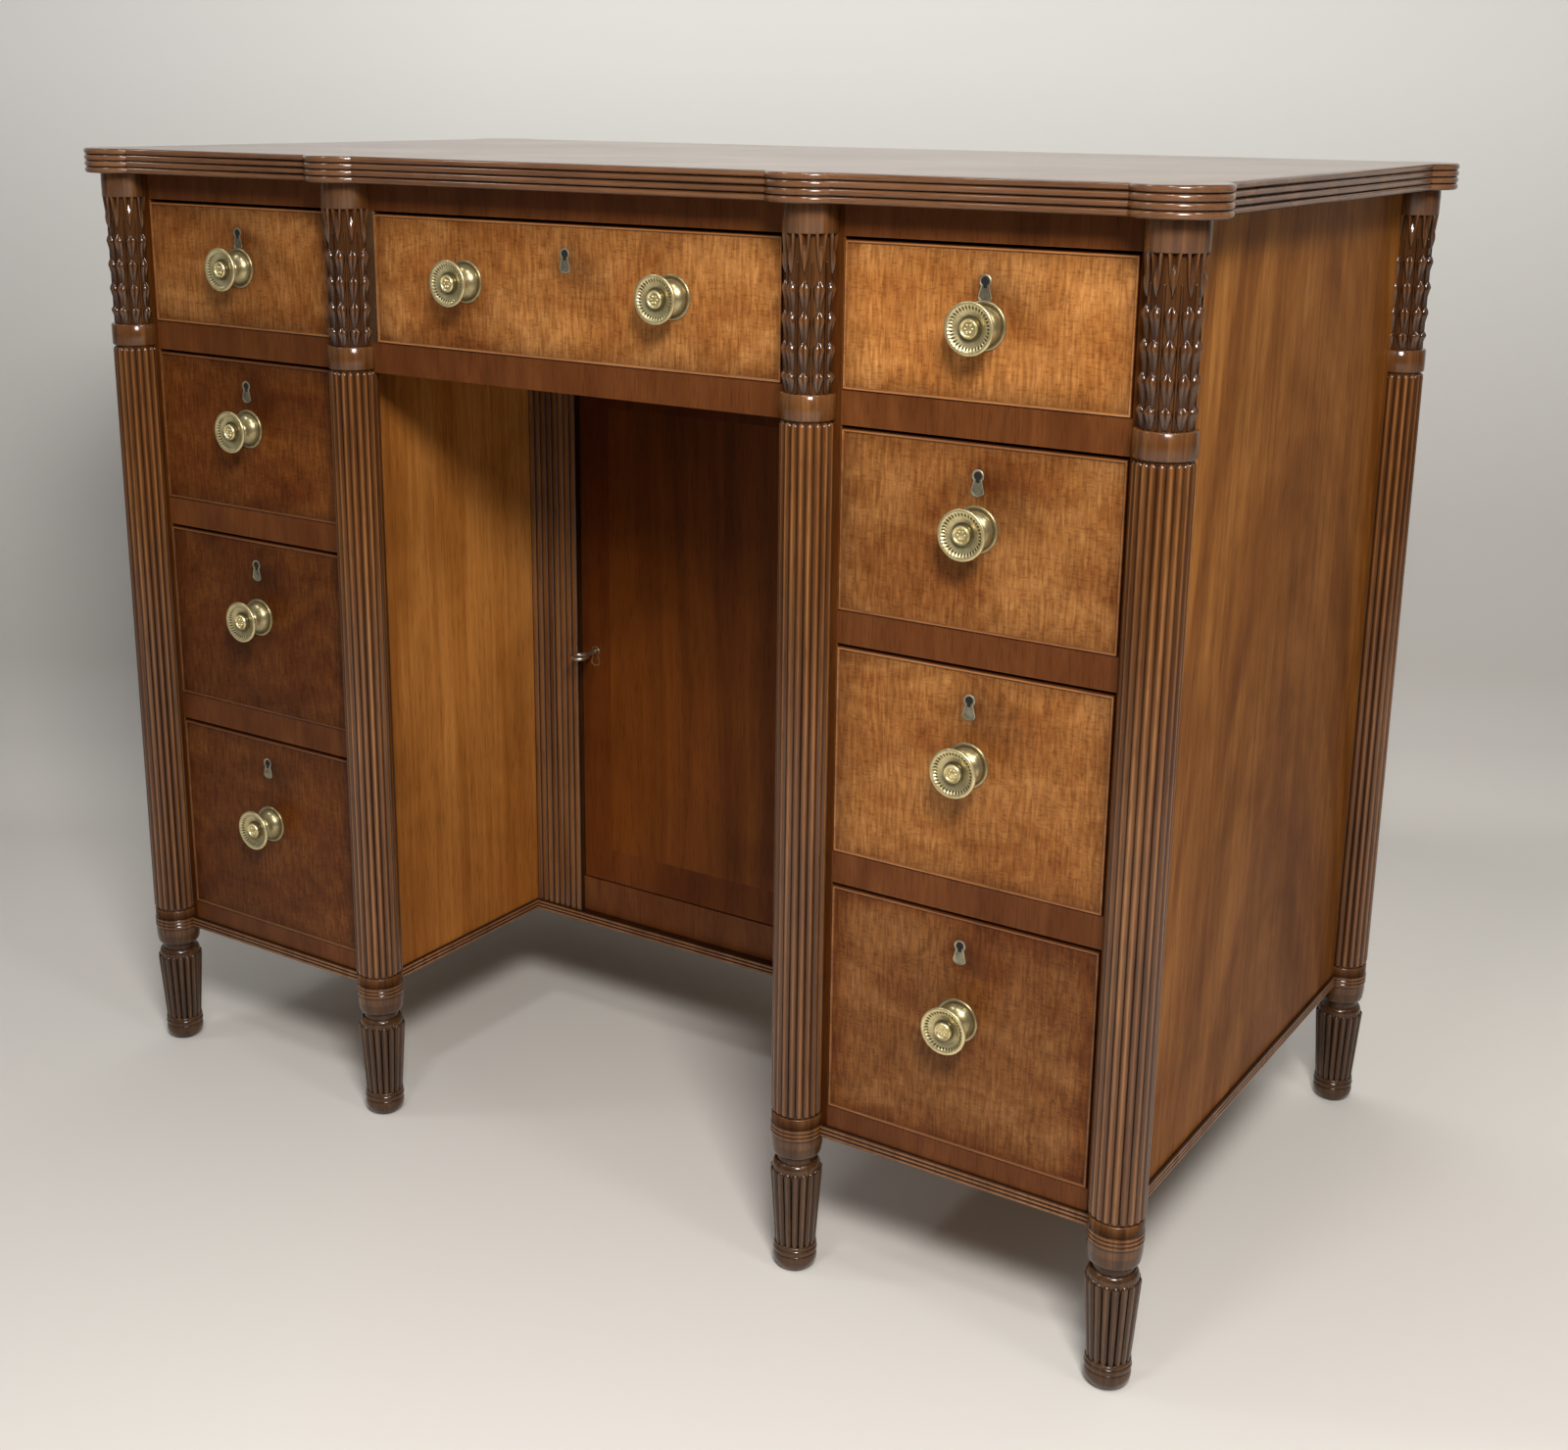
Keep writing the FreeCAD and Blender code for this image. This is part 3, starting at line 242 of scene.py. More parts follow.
# The side boards are painted lighter towards the top and towards the front, as painted light.
board_wood = mahogany(
    "golden mahogany", ((0.175, 0.057, 0.009), (0.250, 0.091, 0.016), (0.335, 0.136, 0.030)),
    UPRIGHT_GRAIN, UPRIGHT_PORES, BOARD_STREAKS, 0.50, gloss=0.42, lustre=0.06, heart=0.04,
    edge=FRONT_EDGE_SHADE,
    shading_fades=(("Z", 0.10, 0.66, (0.86, 0.80, 0.74), (1.12, 1.12, 1.10)),
           ("Y", -0.22, 0.02, (1.26, 1.30, 1.32), (0.88, 0.86, 0.84))))
paint(board_wood, "side_panel_left", "side_panel_right")
# The kneehole boards are painted darker low down and towards the front, as painted shade.
pale_board_wood = mahogany(
    "pale mahogany", ((0.300, 0.104, 0.018), (0.405, 0.155, 0.032), (0.520, 0.220, 0.054)),
    KNEEHOLE_GRAIN, UPRIGHT_PORES, BOARD_STREAKS, 0.40, gloss=0.42, lustre=0.08, edge=FRONT_EDGE_SHADE,
    shading_fades=(("Z", 0.10, 0.40, (0.70, 0.62, 0.54), PLAIN),
           ("Y", -0.23, -0.10, (0.68, 0.63, 0.58), (1.10, 1.12, 1.12))))
paint(pale_board_wood, "kneehole_panel_left", "kneehole_panel_right")


# Hidden boards. Runners, dust boards, guides, bottoms and the back are plain unpolished oak, fixed
# to the boards and rails round them; the back shows the joints of upright planks.
OAK_TONES = ((0.20, 0.115, 0.050), (0.29, 0.180, 0.088), (0.36, 0.240, 0.125))
OAK_GRAIN = (30.0, 1.5, 30.0)
OAK_PORES = (700.0, 40.0, 700.0)
PLANK_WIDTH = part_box("back_panel")[1].x / 3
PLANK_JOINT = (0.16, 0.12, 0.10)
oak = mahogany("plain oak", OAK_TONES, OAK_GRAIN, OAK_PORES, gloss=0.60, edge=FRONT_EDGE_SHADE)
plank_oak = mahogany(
    "plank oak", OAK_TONES, UPRIGHT_GRAIN, UPRIGHT_PORES, gloss=0.60, reeds=("X", 0.0, PLANK_WIDTH),
    wear_and_shading=((0.0, PLANK_JOINT), (0.03, PLAIN)))
paint(plank_oak, "back_panel")
paint(oak, "bottom_boards", "drawer_runners_left", "drawer_runners_right", "centre_runners",
      "centre_guides")


# Rails and base moulding. Dark, reddish mahogany veneered with its grain upright across the rails;
# the moulding is glued under the boards, and its three reeds are painted dark in the grooves and pale
# on their crests: painted shade and painted highlight.
RAIL_GRAIN = (46.0, 46.0, 9.0)
RING_HEIGHT = 3.0 * MM
PANEL_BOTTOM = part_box("side_panel_left")[0].z
rail_wood = mahogany(
    "rail mahogany", ((0.105, 0.030, 0.007), (0.130, 0.040, 0.010), (0.158, 0.052, 0.013)), RAIL_GRAIN,
    UPRIGHT_PORES, gloss=0.34, lustre=0.14)
paint(rail_wood, "drawer_rails_left", "drawer_rails_right", "centre_rails", "cupboard_rails")
moulding_wood = mahogany(
    "moulding mahogany", ((0.110, 0.046, 0.018), (0.150, 0.066, 0.027), (0.200, 0.094, 0.042)),
    RAIL_GRAIN, UPRIGHT_PORES, gloss=0.26, lustre=0.30, reeds=("Z", PANEL_BOTTOM, RING_HEIGHT),
    wear_and_shading=((0.10, (0.14, 0.11, 0.10)), (0.75, (0.85, 0.85, 0.85)), (1.0, (1.90, 1.95, 2.0))))
paint(moulding_wood, "base_moulding")


# Turned posts. Each is one length of mahogany: a plain neck under the top, a drum for the
# carving, a band, the shaft that carries the reeds, rings, a bulb and the foot. The ground of the
# carving and the feet are painted darker, as painted shade. A corner of the case hides a quarter of each.
POST_NODES = [name for name in frame["nodes"] if name.startswith("post_")]
POST_RADIUS = 19.0 * MM
POST_TURN_SEGMENTS = 96
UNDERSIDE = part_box(POST_NODES[0])[1].z
NECK_BOTTOM = UNDERSIDE - 18.8 * MM
RAIL_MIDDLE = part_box("centre_rails")[0].z + 11.25 * MM
BAND_HALF = 8.5 * MM
DRUM_RADIUS = 15.4 * MM
SHAFT_RADIUS = 16.7 * MM
SHAFT_BOTTOM = PANEL_BOTTOM + 8.0 * MM
SHAFT_TOP = RAIL_MIDDLE - BAND_HALF
POST_GRAIN = (120.0, 120.0, 2.5)
NECK_ARRIS = 0.4 * MM
BAND_ARRIS = 0.7 * MM
COLLAR_RADIUS = 18.3 * MM
COLLAR_ARRIS = 0.5 * MM
RING_COUNT = 3
RING_BULGE = 0.65 * MM
BULB_HEIGHT = 11.0 * MM
BULB_BULGE = 0.35 * MM
ANKLE_RADIUS = 13.8 * MM
ANKLE_DROP = 5.6 * MM
ANKLE_HEIGHT = 4.2 * MM
SHOULDER_RADIUS = 17.2 * MM
SHOULDER_DROP = 5.4 * MM
FOOT_TOP_RADIUS = 16.3 * MM
FOOT_TOP_DROP = 6.5 * MM
TOE_FILLET_MM = ((12.7, 20.0), (14.6, 20.0), (15.3, 19.4), (15.3, 17.8), (14.9, 17.4))
TOE_RADIUS = 15.3 * MM
TOE_RING = (17.0 * MM, 13.0 * MM)
TOE_GROOVE = (15.0 * MM, 12.7 * MM)
TOE_BALL_TOP = 12.4 * MM
TOE_RING_BULGE = 0.6 * MM
TOE_BALL_BULGE = 1.9 * MM
FLOOR_RADIUS = 11.6 * MM
# Dark in the hollows and pale on the crests: partly worn polish and grime, partly painted shade and
# painted highlight.
CARVED_WEAR_AND_SHADING = ((0.0, (0.12, 0.09, 0.08)), (1.0, (1.80, 1.84, 1.86)))
# Painted shade: the feet are painted darker and greyer towards the floor.
FOOT_PAINTED_SHADE = (0.80, 0.92, 1.15)
carved_wood = mahogany(
    "carved mahogany", ((0.082, 0.029, 0.008), (0.136, 0.052, 0.015), (0.216, 0.092, 0.029)), POST_GRAIN,
    UPRIGHT_PORES, gloss=0.13, lustre=0.48, wear_and_shading=CARVED_WEAR_AND_SHADING,
    shading_fades=(("Z", 0.085, 0.13, FOOT_PAINTED_SHADE, PLAIN),))


def hang(name, data):
    """A new object in the scene."""
    made = bpy.data.objects.new(name, data)
    scene.collection.objects.link(made)
    return made


def finished(name, mesh, body, material=None, replaced=()):
    """Hang a finished mesh in the scene as a piece of the desk that rides on a body."""
    piece = hang(name, mesh)
    if material:
        mesh.materials.clear()
        mesh.materials.append(material)
    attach(piece, body)
    if replaced:
        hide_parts(*replaced)


def baked(name, shape):
    """A mesh made of a shape that is then let go."""
    mesh = bpy.data.meshes.new(name)
    shape.to_mesh(mesh)
    shape.free()
    return mesh


def smoothed(mesh, crease):
    """Shade a mesh smooth but for the edges that bend by more than a crease."""
    mesh.shade_smooth()
    mesh.set_sharp_from_angle(angle=crease)
    return mesh


def say_wear_and_shading(mesh, wear_and_shading):
    """Have a mesh say how worn and how shaded it is at each of its points; the shading is painted
    highlight and painted shade.
    """
    mesh.attributes.new("wear_and_shading", "FLOAT", "POINT").data.foreach_set("value", wear_and_shading)


def mesh_from(name, points, faces, crease=math.radians(40), wear_and_shading=None):
    """A closed mesh from points and faces, facing outwards and smooth but for its creases."""
    shape = bmesh.new()
    corners = [shape.verts.new(point) for point in points]
    for face in faces:
        shape.faces.new([corners[index] for index in face])
    bmesh.ops.recalc_face_normals(shape, faces=shape.faces)
    mesh = smoothed(baked(name, shape), crease)
    if wear_and_shading:
        say_wear_and_shading(mesh, wear_and_shading)
    return mesh


def sleeve(rows, around, closed=False):
    """Faces between rows of points; a closed sleeve returns from its last row to its first."""
    faces = []
    for row in range(rows if closed else rows - 1):
        here = row * around
        there = (row + 1) % rows * around
        for step in range(around):
            after = (step + 1) % around
            faces.append((here + step, here + after, there + after, there + step))
    return faces


def between_tips(rows, around):
    """Faces of a sleeve that is drawn together at both ends, to tips that come after its rows."""
    faces = sleeve(rows, around)
    for start, tip in ((0, rows * around), ((rows - 1) * around, rows * around + 1)):
        faces += [(tip, start + step, start + (step + 1) % around) for step in range(around)]
    return faces


def arc(centre, radii, start, end, steps):
    """Points of an arc round a centre, from one angle to another."""
    angles = [start + (end - start) * step / steps for step in range(steps + 1)]
    return [(centre[0] + radii[0] * math.cos(angle), centre[1] + radii[1] * math.sin(angle))
            for angle in angles]


def lathe(name, profile, segments, crease=math.radians(40), wear_and_shading=None):
    """Turn a half section of (radius, height) corners; the first and last lie on the axis.
    A function of a radius and a height says how worn and how shaded the wood is there, with painted
    highlight and painted shade."""
    points = []
    for radius, height in profile[1:-1]:
        circle = arc((0.0, 0.0), (radius, radius), 0.0, math.tau, segments)
        points += [(x, y, height) for x, y in circle[:-1]]
    points += [(0.0, 0.0, profile[0][1]), (0.0, 0.0, profile[-1][1])]
    rubbed_and_shaded = [wear_and_shading(math.hypot(x, y), z) for x, y, z in points] if wear_and_shading else None
    return mesh_from(name, points, between_tips(len(profile) - 2, segments), crease, rubbed_and_shaded)


def bow(start, end, bulge, steps=6):
    """Corners of a rounded moulding between two corners, standing out by a bulge."""
    corners = []
    for step in range(1, steps):
        share = step / steps
        radius = start[0] + (end[0] - start[0]) * share + bulge * math.sin(math.pi * share)
        corners.append((radius, start[1] + (end[1] - start[1]) * share))
    return [start, *corners, end]


def quarter(start, end, steps=6):
    """Corners of a quarter round that leaves the first corner along the axis."""
    return arc((end[0], start[1]), (start[0] - end[0], end[1] - start[1]), 0.0, math.pi / 2, steps)


def post_profile():
    """Half section of a post from its top down to the floor, without reeds and leaves."""
    section = [(0.0, UNDERSIDE), (POST_RADIUS, UNDERSIDE), (POST_RADIUS, NECK_BOTTOM + NECK_ARRIS)]
    section += [(POST_RADIUS - NECK_ARRIS, NECK_BOTTOM), (DRUM_RADIUS, NECK_BOTTOM - NECK_ARRIS)]
    band_top = RAIL_MIDDLE + BAND_HALF
    section += [(DRUM_RADIUS, band_top), (POST_RADIUS - BAND_ARRIS, band_top)]
    section += [(POST_RADIUS, band_top - BAND_ARRIS), (POST_RADIUS, SHAFT_TOP + BAND_ARRIS)]
    section += [(POST_RADIUS - BAND_ARRIS, SHAFT_TOP), (SHAFT_RADIUS, SHAFT_TOP)]
    section += [(SHAFT_RADIUS, SHAFT_BOTTOM), (COLLAR_RADIUS - COLLAR_ARRIS, SHAFT_BOTTOM)]
    section += [(COLLAR_RADIUS, SHAFT_BOTTOM - COLLAR_ARRIS)]
    level = PANEL_BOTTOM
    for _ in range(RING_COUNT):
        section += bow((COLLAR_RADIUS, level), (COLLAR_RADIUS, level - RING_HEIGHT), RING_BULGE)
        level -= RING_HEIGHT
    bulb = (COLLAR_RADIUS - COLLAR_ARRIS, level - BULB_HEIGHT)
    section += bow((COLLAR_RADIUS, level), bulb, BULB_BULGE)
    ankle = (ANKLE_RADIUS, bulb[1] - ANKLE_DROP)
    section += quarter(bulb, ankle)[1:]
    neck = (ANKLE_RADIUS, ankle[1] - ANKLE_HEIGHT)
    shoulder = (SHOULDER_RADIUS, neck[1] - SHOULDER_DROP)
    section += reversed(quarter(shoulder, neck, 8))
    section += [(FOOT_TOP_RADIUS, shoulder[1] - FOOT_TOP_DROP)]
    section += [(radius * MM, height * MM) for radius, height in TOE_FILLET_MM]
    section += bow((TOE_RADIUS, TOE_RING[0]), (TOE_RADIUS, TOE_RING[1]), TOE_RING_BULGE)
    section += [TOE_GROOVE]
    section += bow((TOE_RADIUS, TOE_BALL_TOP), (FLOOR_RADIUS, 0.0), TOE_BALL_BULGE, 8)
    return [*section, (0.0, 0.0)]


def post_wear_and_shading(radius, height):
    """How light a post is painted: lightest on the crests of its rings as painted highlight, dark between
    its rings, in its hollows and on its foot as painted shade.
    """
    if PANEL_BOTTOM - (RING_COUNT + 0.2) * RING_HEIGHT < height < PANEL_BOTTOM + 0.1 * MM:
        return 0.06 + 0.70 * min(1.0, max(0.0, (radius - COLLAR_RADIUS) / RING_BULGE))
    if height < PANEL_BOTTOM - 15.0 * MM:
        return 0.30 if radius > 14.2 * MM else 0.20
    if radius < POST_RADIUS - 2.0 * MM:
        return 0.24
    return 0.46


POST_AXES = {}
for name in POST_NODES:
    low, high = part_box(name)
    POST_AXES[name] = Vector(((low.x + high.x) / 2, (low.y + high.y) / 2, 0.0))
    turning = lathe(name, post_profile(), POST_TURN_SEGMENTS, math.radians(50), post_wear_and_shading)
    turning.transform(Matrix.Translation(POST_AXES[name]))
    finished(name + "_turning", turning, "case", carved_wood, [name])


# Reeds of the shafts and feet. They are cut in the solid wood as close half rounds, each
# stopped with a rounded end. Their sides are dark and their crests pale, partly polish built up in the
# grooves and worn off the crests, and partly painted shade and painted highlight.
SHAFT_REED_COUNT = 20
SHAFT_REED_RADIUS = 2.95 * MM
SHAFT_REED_AXIS = 15.75 * MM
SHAFT_REED_LEVELS = (SHAFT_BOTTOM + 0.3 * MM, SHAFT_TOP - 1.2 * MM)
FOOT_REED_COUNT = 18
FOOT_REED_LOW = Vector((12.2 * MM, 0.0, 18.0 * MM))
FOOT_REED_HIGH = Vector((16.1 * MM, 0.0, 80.6 * MM))
FOOT_REED_RADII = (2.45 * MM, 2.85 * MM)
REED_SIDES = 14
REED_END_ROWS = 4


def reed_mesh(name, low, high, low_radius, high_radius, rubbed_and_shaded=1.0):
    """A round bar between two points of the XZ plane, with rounded ends, pale on its outer side and dark
    on its sides: partly worn polish, partly painted highlight and painted shade.
    """
    along = (high - low).normalized()
    across = Vector((along.z, 0.0, -along.x))
    rows = []
    for step in range(REED_END_ROWS):
        turn = math.pi / 2 * step / REED_END_ROWS
        rise = 1 - math.sin(turn)
        rows.insert(0, (low + along * (low_radius * rise), low_radius * math.cos(turn)))
        rows.append((high - along * (high_radius * rise), high_radius * math.cos(turn)))
    points = []
    wear_and_shading = []
    for centre, radius in rows:
        for step in range(REED_SIDES):
            angle = math.tau * step / REED_SIDES
            aside = Vector((0.0, radius * math.sin(angle), 0.0))
            points.append(centre + across * (radius * math.cos(angle)) + aside)
            outward = max(0.0, math.cos(angle))
            wear_and_shading.append(rubbed_and_shaded * (0.24 * min(1.0, 1.8 * outward) + 0.76 * outward ** 16))
    points += [low, high]
    wear_and_shading += [rubbed_and_shaded, rubbed_and_shaded]
    return mesh_from(name, points, between_tips(len(rows), REED_SIDES), math.radians(80), wear_and_shading)


def ring_tree(name, material):
    """Node tree: copies of a template round an upright axis, at each point of the carrier."""
    tree = bpy.data.node_groups.new(name, "GeometryNodeTree")
    sockets = {}
    for label, kind in (("Axes", "NodeSocketGeometry"), ("Template", "NodeSocketObject"),
                        ("Count", "NodeSocketInt"), ("First turn", "NodeSocketFloat")):
        sockets[label] = tree.interface.new_socket(label, in_out="INPUT", socket_type=kind).identifier
    tree.interface.new_socket("Copies", in_out="OUTPUT", socket_type="NodeSocketGeometry")
    given = node(tree, "NodeGroupInput").outputs
    template = node(tree, "GeometryNodeObjectInfo", {"Object": given["Template"], "As Instance": True})
    places = node(tree, "GeometryNodePoints", {"Count": given["Count"]})
    index = node(tree, "GeometryNodeInputIndex").outputs["Index"]
    step = arithmetic(tree, "DIVIDE", math.tau, given["Count"])
    turn = arithmetic(tree, "MULTIPLY_ADD", index, step, given["First turn"])
    angles = node(tree, "ShaderNodeCombineXYZ", {"Z": turn})
    rotation = node(tree, "FunctionNodeEulerToRotation", {"Euler": angles.outputs["Vector"]})
    ring = node(tree, "GeometryNodeInstanceOnPoints", {
        "Points": places.outputs["Points"], "Instance": template.outputs["Geometry"],
        "Rotation": rotation.outputs["Rotation"]})
    rings = node(tree, "GeometryNodeInstanceOnPoints", {
        "Points": given["Axes"], "Instance": ring.outputs["Instances"]})
    real = node(tree, "GeometryNodeRealizeInstances", {"Geometry": rings.outputs["Instances"]})
    finish = node(tree, "GeometryNodeSetMaterial", {
        "Geometry": real.outputs["Geometry"], "Material": material})
    node(tree, "NodeGroupOutput", {"Copies": finish.outputs["Geometry"]})
    return tree, sockets


def set_round(name, template_mesh, axes, count, material, first_turn=0.0):
    """A plain mesh of copies of a template, set round each of several upright axes."""
    tree, sockets = ring_tree(name + " ring", material)
    template = hang(name + "_template", template_mesh)
    carrier_mesh = bpy.data.meshes.new(name + "_axes")
    carrier_mesh.from_pydata([tuple(axis) for axis in axes], [], [])
    carrier = hang(name + "_carrier", carrier_mesh)
    modifier = carrier.modifiers.new("ring", "NODES")
    modifier.node_group = tree
    modifier[sockets["Template"]] = template
    modifier[sockets["Count"]] = count
    modifier[sockets["First turn"]] = first_turn
    graph = bpy.context.evaluated_depsgraph_get()
    mesh = bpy.data.meshes.new_from_object(carrier.evaluated_get(graph))
    mesh.name = name
    carrier.modifiers.clear()
    bpy.data.objects.remove(carrier)
    bpy.data.objects.remove(template)
    return mesh


def carve(name, template_mesh, count, material, first_turn=0.0):
    """Copies of a template round every post, as one piece of carving."""
    carving = set_round(name, template_mesh, POST_AXES.values(), count, material, first_turn)
    finished(name, carving, "case")


shaft_ends = [Vector((SHAFT_REED_AXIS, 0.0, level)) for level in SHAFT_REED_LEVELS]
shaft_reed = reed_mesh("shaft_reed", *shaft_ends, SHAFT_REED_RADIUS, SHAFT_REED_RADIUS)
carve("post_shaft_reeds", shaft_reed, SHAFT_REED_COUNT, carved_wood)
# The foot reeds are painted darker than the shaft reeds: painted shade.
foot_reed = reed_mesh("foot_reed", FOOT_REED_LOW, FOOT_REED_HIGH, *FOOT_REED_RADII, 0.55)
carve("post_foot_reeds", foot_reed, FOOT_REED_COUNT, carved_wood)


# Leaf carving. Under each neck the drum is carved with upright leaves, one over another in
# columns: a flared row at the top and four rows of plump, pointed leaves, each split by a
# groove, with a thin stem between the columns.
LEAF_COUNT = 10
LEAF_TIP_LEVELS = [NECK_BOTTOM - (29.0 + 19.2 * row) * MM for row in range(4)]
LEAF_ROOT_LEVEL = RAIL_MIDDLE + BAND_HALF
LEAF_COLUMNS = 12
LEAF_ROWS = 10
LEAF_PITCH = math.tau / LEAF_COUNT
LEAF_SWELL = 3.3 * MM
LEAF_SUNK = 0.6 * MM
LEAF_OVERLAP = 3.0 * MM
LEAF_WIDEST = 0.74
LEAF_FULLEST = 0.74
CROWN_LIFT = 4.0 * MM
CROWN_LET_IN = 0.3 * MM
STEM_AXIS = 15.5 * MM
STEM_RADIUS = 0.9 * MM
STEM_RISE = 12.0 * MM
leaf_wood = mahogany(
    "leaf mahogany", ((0.075, 0.027, 0.008), (0.124, 0.048, 0.014), (0.196, 0.084, 0.027)), POST_GRAIN,
    UPRIGHT_PORES, gloss=0.12, polish=0.60, lustre=0.55, wear_and_shading=CARVED_WEAR_AND_SHADING)


def backed(points, columns, rows, behind):
    """Faces of a sheet of points in rows, closed by sides and a back.
    behind says where the back of a point is, and the points of the back are added to the sheet's."""
    wide = columns + 1
    faces = []
    for row in range(rows):
        for first in range(row * wide, row * wide + columns):
            faces.append((first, first + 1, first + wide + 1, first + wide))
    rim = list(range(wide))
    rim += [row * wide + columns for row in range(1, rows + 1)]
    rim += [rows * wide + column for column in reversed(range(columns))]
    rim += [row * wide for row in reversed(range(1, rows))]
    back = range(len(points), len(points) + len(rim))
    points += [behind(*points[index]) for index in rim]
    for step in range(len(rim)):
        after = (step + 1) % len(rim)
        faces.append((rim[step], rim[after], back[after], back[step]))
    return [*faces, back]


def leaf_mesh(name, root, tip, half_width, relief):
    """A carved leaf on the drum. half_width and relief give its form along and across it."""
    points = []
    wear_and_shading = []
    for row in range(LEAF_ROWS + 1):
        along = 1 - (1 - row / LEAF_ROWS) ** 1.4
        for column in range(LEAF_COLUMNS + 1):
            across = 2 * column / LEAF_COLUMNS - 1
            angle = across * half_width(along) * LEAF_PITCH / 2
            height = relief(along, across)
            radius = DRUM_RADIUS + height * LEAF_SWELL
            level = root + (tip - root) * along
            points.append((radius * math.cos(angle), radius * math.sin(angle), level))
            # Painted shade: the leaf is darker where it lies low on the drum and lighter where it stands
            # out.
            wear_and_shading.append(0.14 + 0.56 * min(1.0, height * height))

    def sunk(x, y, z):
        inward = (DRUM_RADIUS - LEAF_SUNK) / math.hypot(x, y)
        return x * inward, y * inward, z

    faces = backed(points, LEAF_COLUMNS, LEAF_ROWS, sunk)
    wear_and_shading += [0.0] * (len(points) - len(wear_and_shading))
    return mesh_from(name, points, faces, math.radians(75), wear_and_shading)


def leaf_width(along):
    """A leaf that swells above its root and closes to a point."""
    if along < LEAF_WIDEST:
        return 0.28 + 0.56 * math.sin(math.pi / 2 * along / LEAF_WIDEST) ** 1.3
    return 0.04 + 0.80 * (1 - ((along - LEAF_WIDEST) / (1 - LEAF_WIDEST)) ** 1.7)


def leaf_relief(along, across):
    """Two plump halves either side of a groove, fullest a little below the tip."""
    if along < LEAF_FULLEST:
        swell = 0.10 + 0.90 * (along / LEAF_FULLEST) ** 1.8
    else:
        swell = 0.14 + 0.86 * (1 - ((along - LEAF_FULLEST) / (1 - LEAF_FULLEST)) ** 1.25)
    groove = 0.42 + 0.58 * math.sin(math.pi / 2 * min(1.0, abs(across) / 0.42))
    return swell * groove * (1 - abs(across) ** 3)


def crown_width(along):
    """A leaf that swells from a point, draws in, and flares out to meet its neighbours."""
    return 0.06 + 0.46 * math.sin(math.pi * min(1.0, 0.9 * along)) + 0.60 * along ** 4


def crown_relief(along, across):
    """A tulip: a plump stalk below, and two horns that lean out at the top with a hollow between."""
    stalk = 0.90 * math.sin(math.pi * min(1.0, 1.15 * along + 0.12)) * (1 - across * across)
    horns = (0.25 + 0.80 * along) * math.sin(math.pi * min(1.0, abs(across) * 0.66 + 0.02)) ** 2
    return min(1.05, max(stalk, horns)) * (1 - 0.5 * abs(across) ** 12)


leaf_roots = [level - LEAF_OVERLAP for level in LEAF_TIP_LEVELS[1:]] + [LEAF_ROOT_LEVEL]
for number, (root, tip) in enumerate(zip(leaf_roots, LEAF_TIP_LEVELS)):
    leaf = leaf_mesh("leaf", root, tip, leaf_width, leaf_relief)
    carve("post_leaf_row_%d" % number, leaf, LEAF_COUNT, leaf_wood)
crown = leaf_mesh("crown_leaf", LEAF_TIP_LEVELS[0] + CROWN_LIFT, NECK_BOTTOM + CROWN_LET_IN,
                  crown_width, crown_relief)
carve("post_crown_leaves", crown, LEAF_COUNT, leaf_wood)
# The stems are painted darker than the reeds: painted shade.
stem = reed_mesh("leaf_stem", Vector((STEM_AXIS, 0.0, LEAF_ROOT_LEVEL)),
                 Vector((STEM_AXIS, 0.0, LEAF_TIP_LEVELS[0] + STEM_RISE)), STEM_RADIUS, STEM_RADIUS, 0.34)
carve("post_leaf_stems", stem, LEAF_COUNT, carved_wood, LEAF_PITCH / 2)


# Top. One wide board of dark, well polished mahogany, its edge worked with four reeds that run
# round a lobe over each post; it lies on the posts, the boards and the upper rails.
EDGE_REEDS = 4
EDGE_REED_DEPTH = 2.0 * MM
EDGE_REED_STEPS = 10
LOBE_RADIUS = 30.4 * MM
EDGE_BEYOND_AXIS = 18.5 * MM
TOP_GRAIN = (1.5, 38.0, 38.0)
TOP_PORES = (55.0, 850.0, 850.0)
# The edge's reeds are painted dark in the grooves and pale grey on the crests: painted shade and painted
# highlight.
top_wood = mahogany(
    "top mahogany", ((0.080, 0.031, 0.011), (0.128, 0.052, 0.019), (0.184, 0.080, 0.031)), TOP_GRAIN,
    TOP_PORES, gloss=0.17, polish=0.35, lustre=0.50,
    wear_and_shading=((0.0, (0.10, 0.08, 0.07)), (1.0, (1.40, 1.46, 1.56))))
TOP_LOW, TOP_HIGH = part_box("top")
TOP_LOBES = (("post_front_outer_left", 2, 3, 40), ("post_front_inner_left", 3, 3, 24),
             ("post_front_inner_right", 3, 3, 24), ("post_front_outer_right", 3, 4, 40),
             ("post_back_right", 4, 5, 40), ("post_back_left", 5, 6, 40))


def reeding(reeds, steps):
    """A row of half rounds: how many reeds along each of its points is, and how far it stands out."""
    turns = []
    for reed in range(reeds):
        for step in range(steps + (reed == reeds - 1)):
            angle = math.pi * step / steps
            turns.append((reed + (1 - math.cos(angle)) / 2, math.sin(angle)))
    return turns


def stacked(layers):
    """Points and faces of a solid of layers, each an outline and a level, closed at both ends."""
    around = len(layers[0][0])
    points = [(x, y, level) for outline, level in layers for x, y in outline]
    faces = sleeve(len(layers), around)
    faces += [range(start, start + around) for start in (0, len(points) - around)]
    return points, faces


def top_outline(inset):
    """The top's outline, drawn in by an inset: straight edges between the lobes.
    A lobe swings past its first and its last quarter turn, in so many steps."""
    radius = LOBE_RADIUS - inset
    swing = math.acos((EDGE_BEYOND_AXIS - inset) / radius)
    outline = []
    for name, first, last, steps in TOP_LOBES:
        outline += arc(POST_AXES[name], (radius, radius), first * math.pi / 2 - swing,
                       last * math.pi / 2 + swing, steps)
    return outline


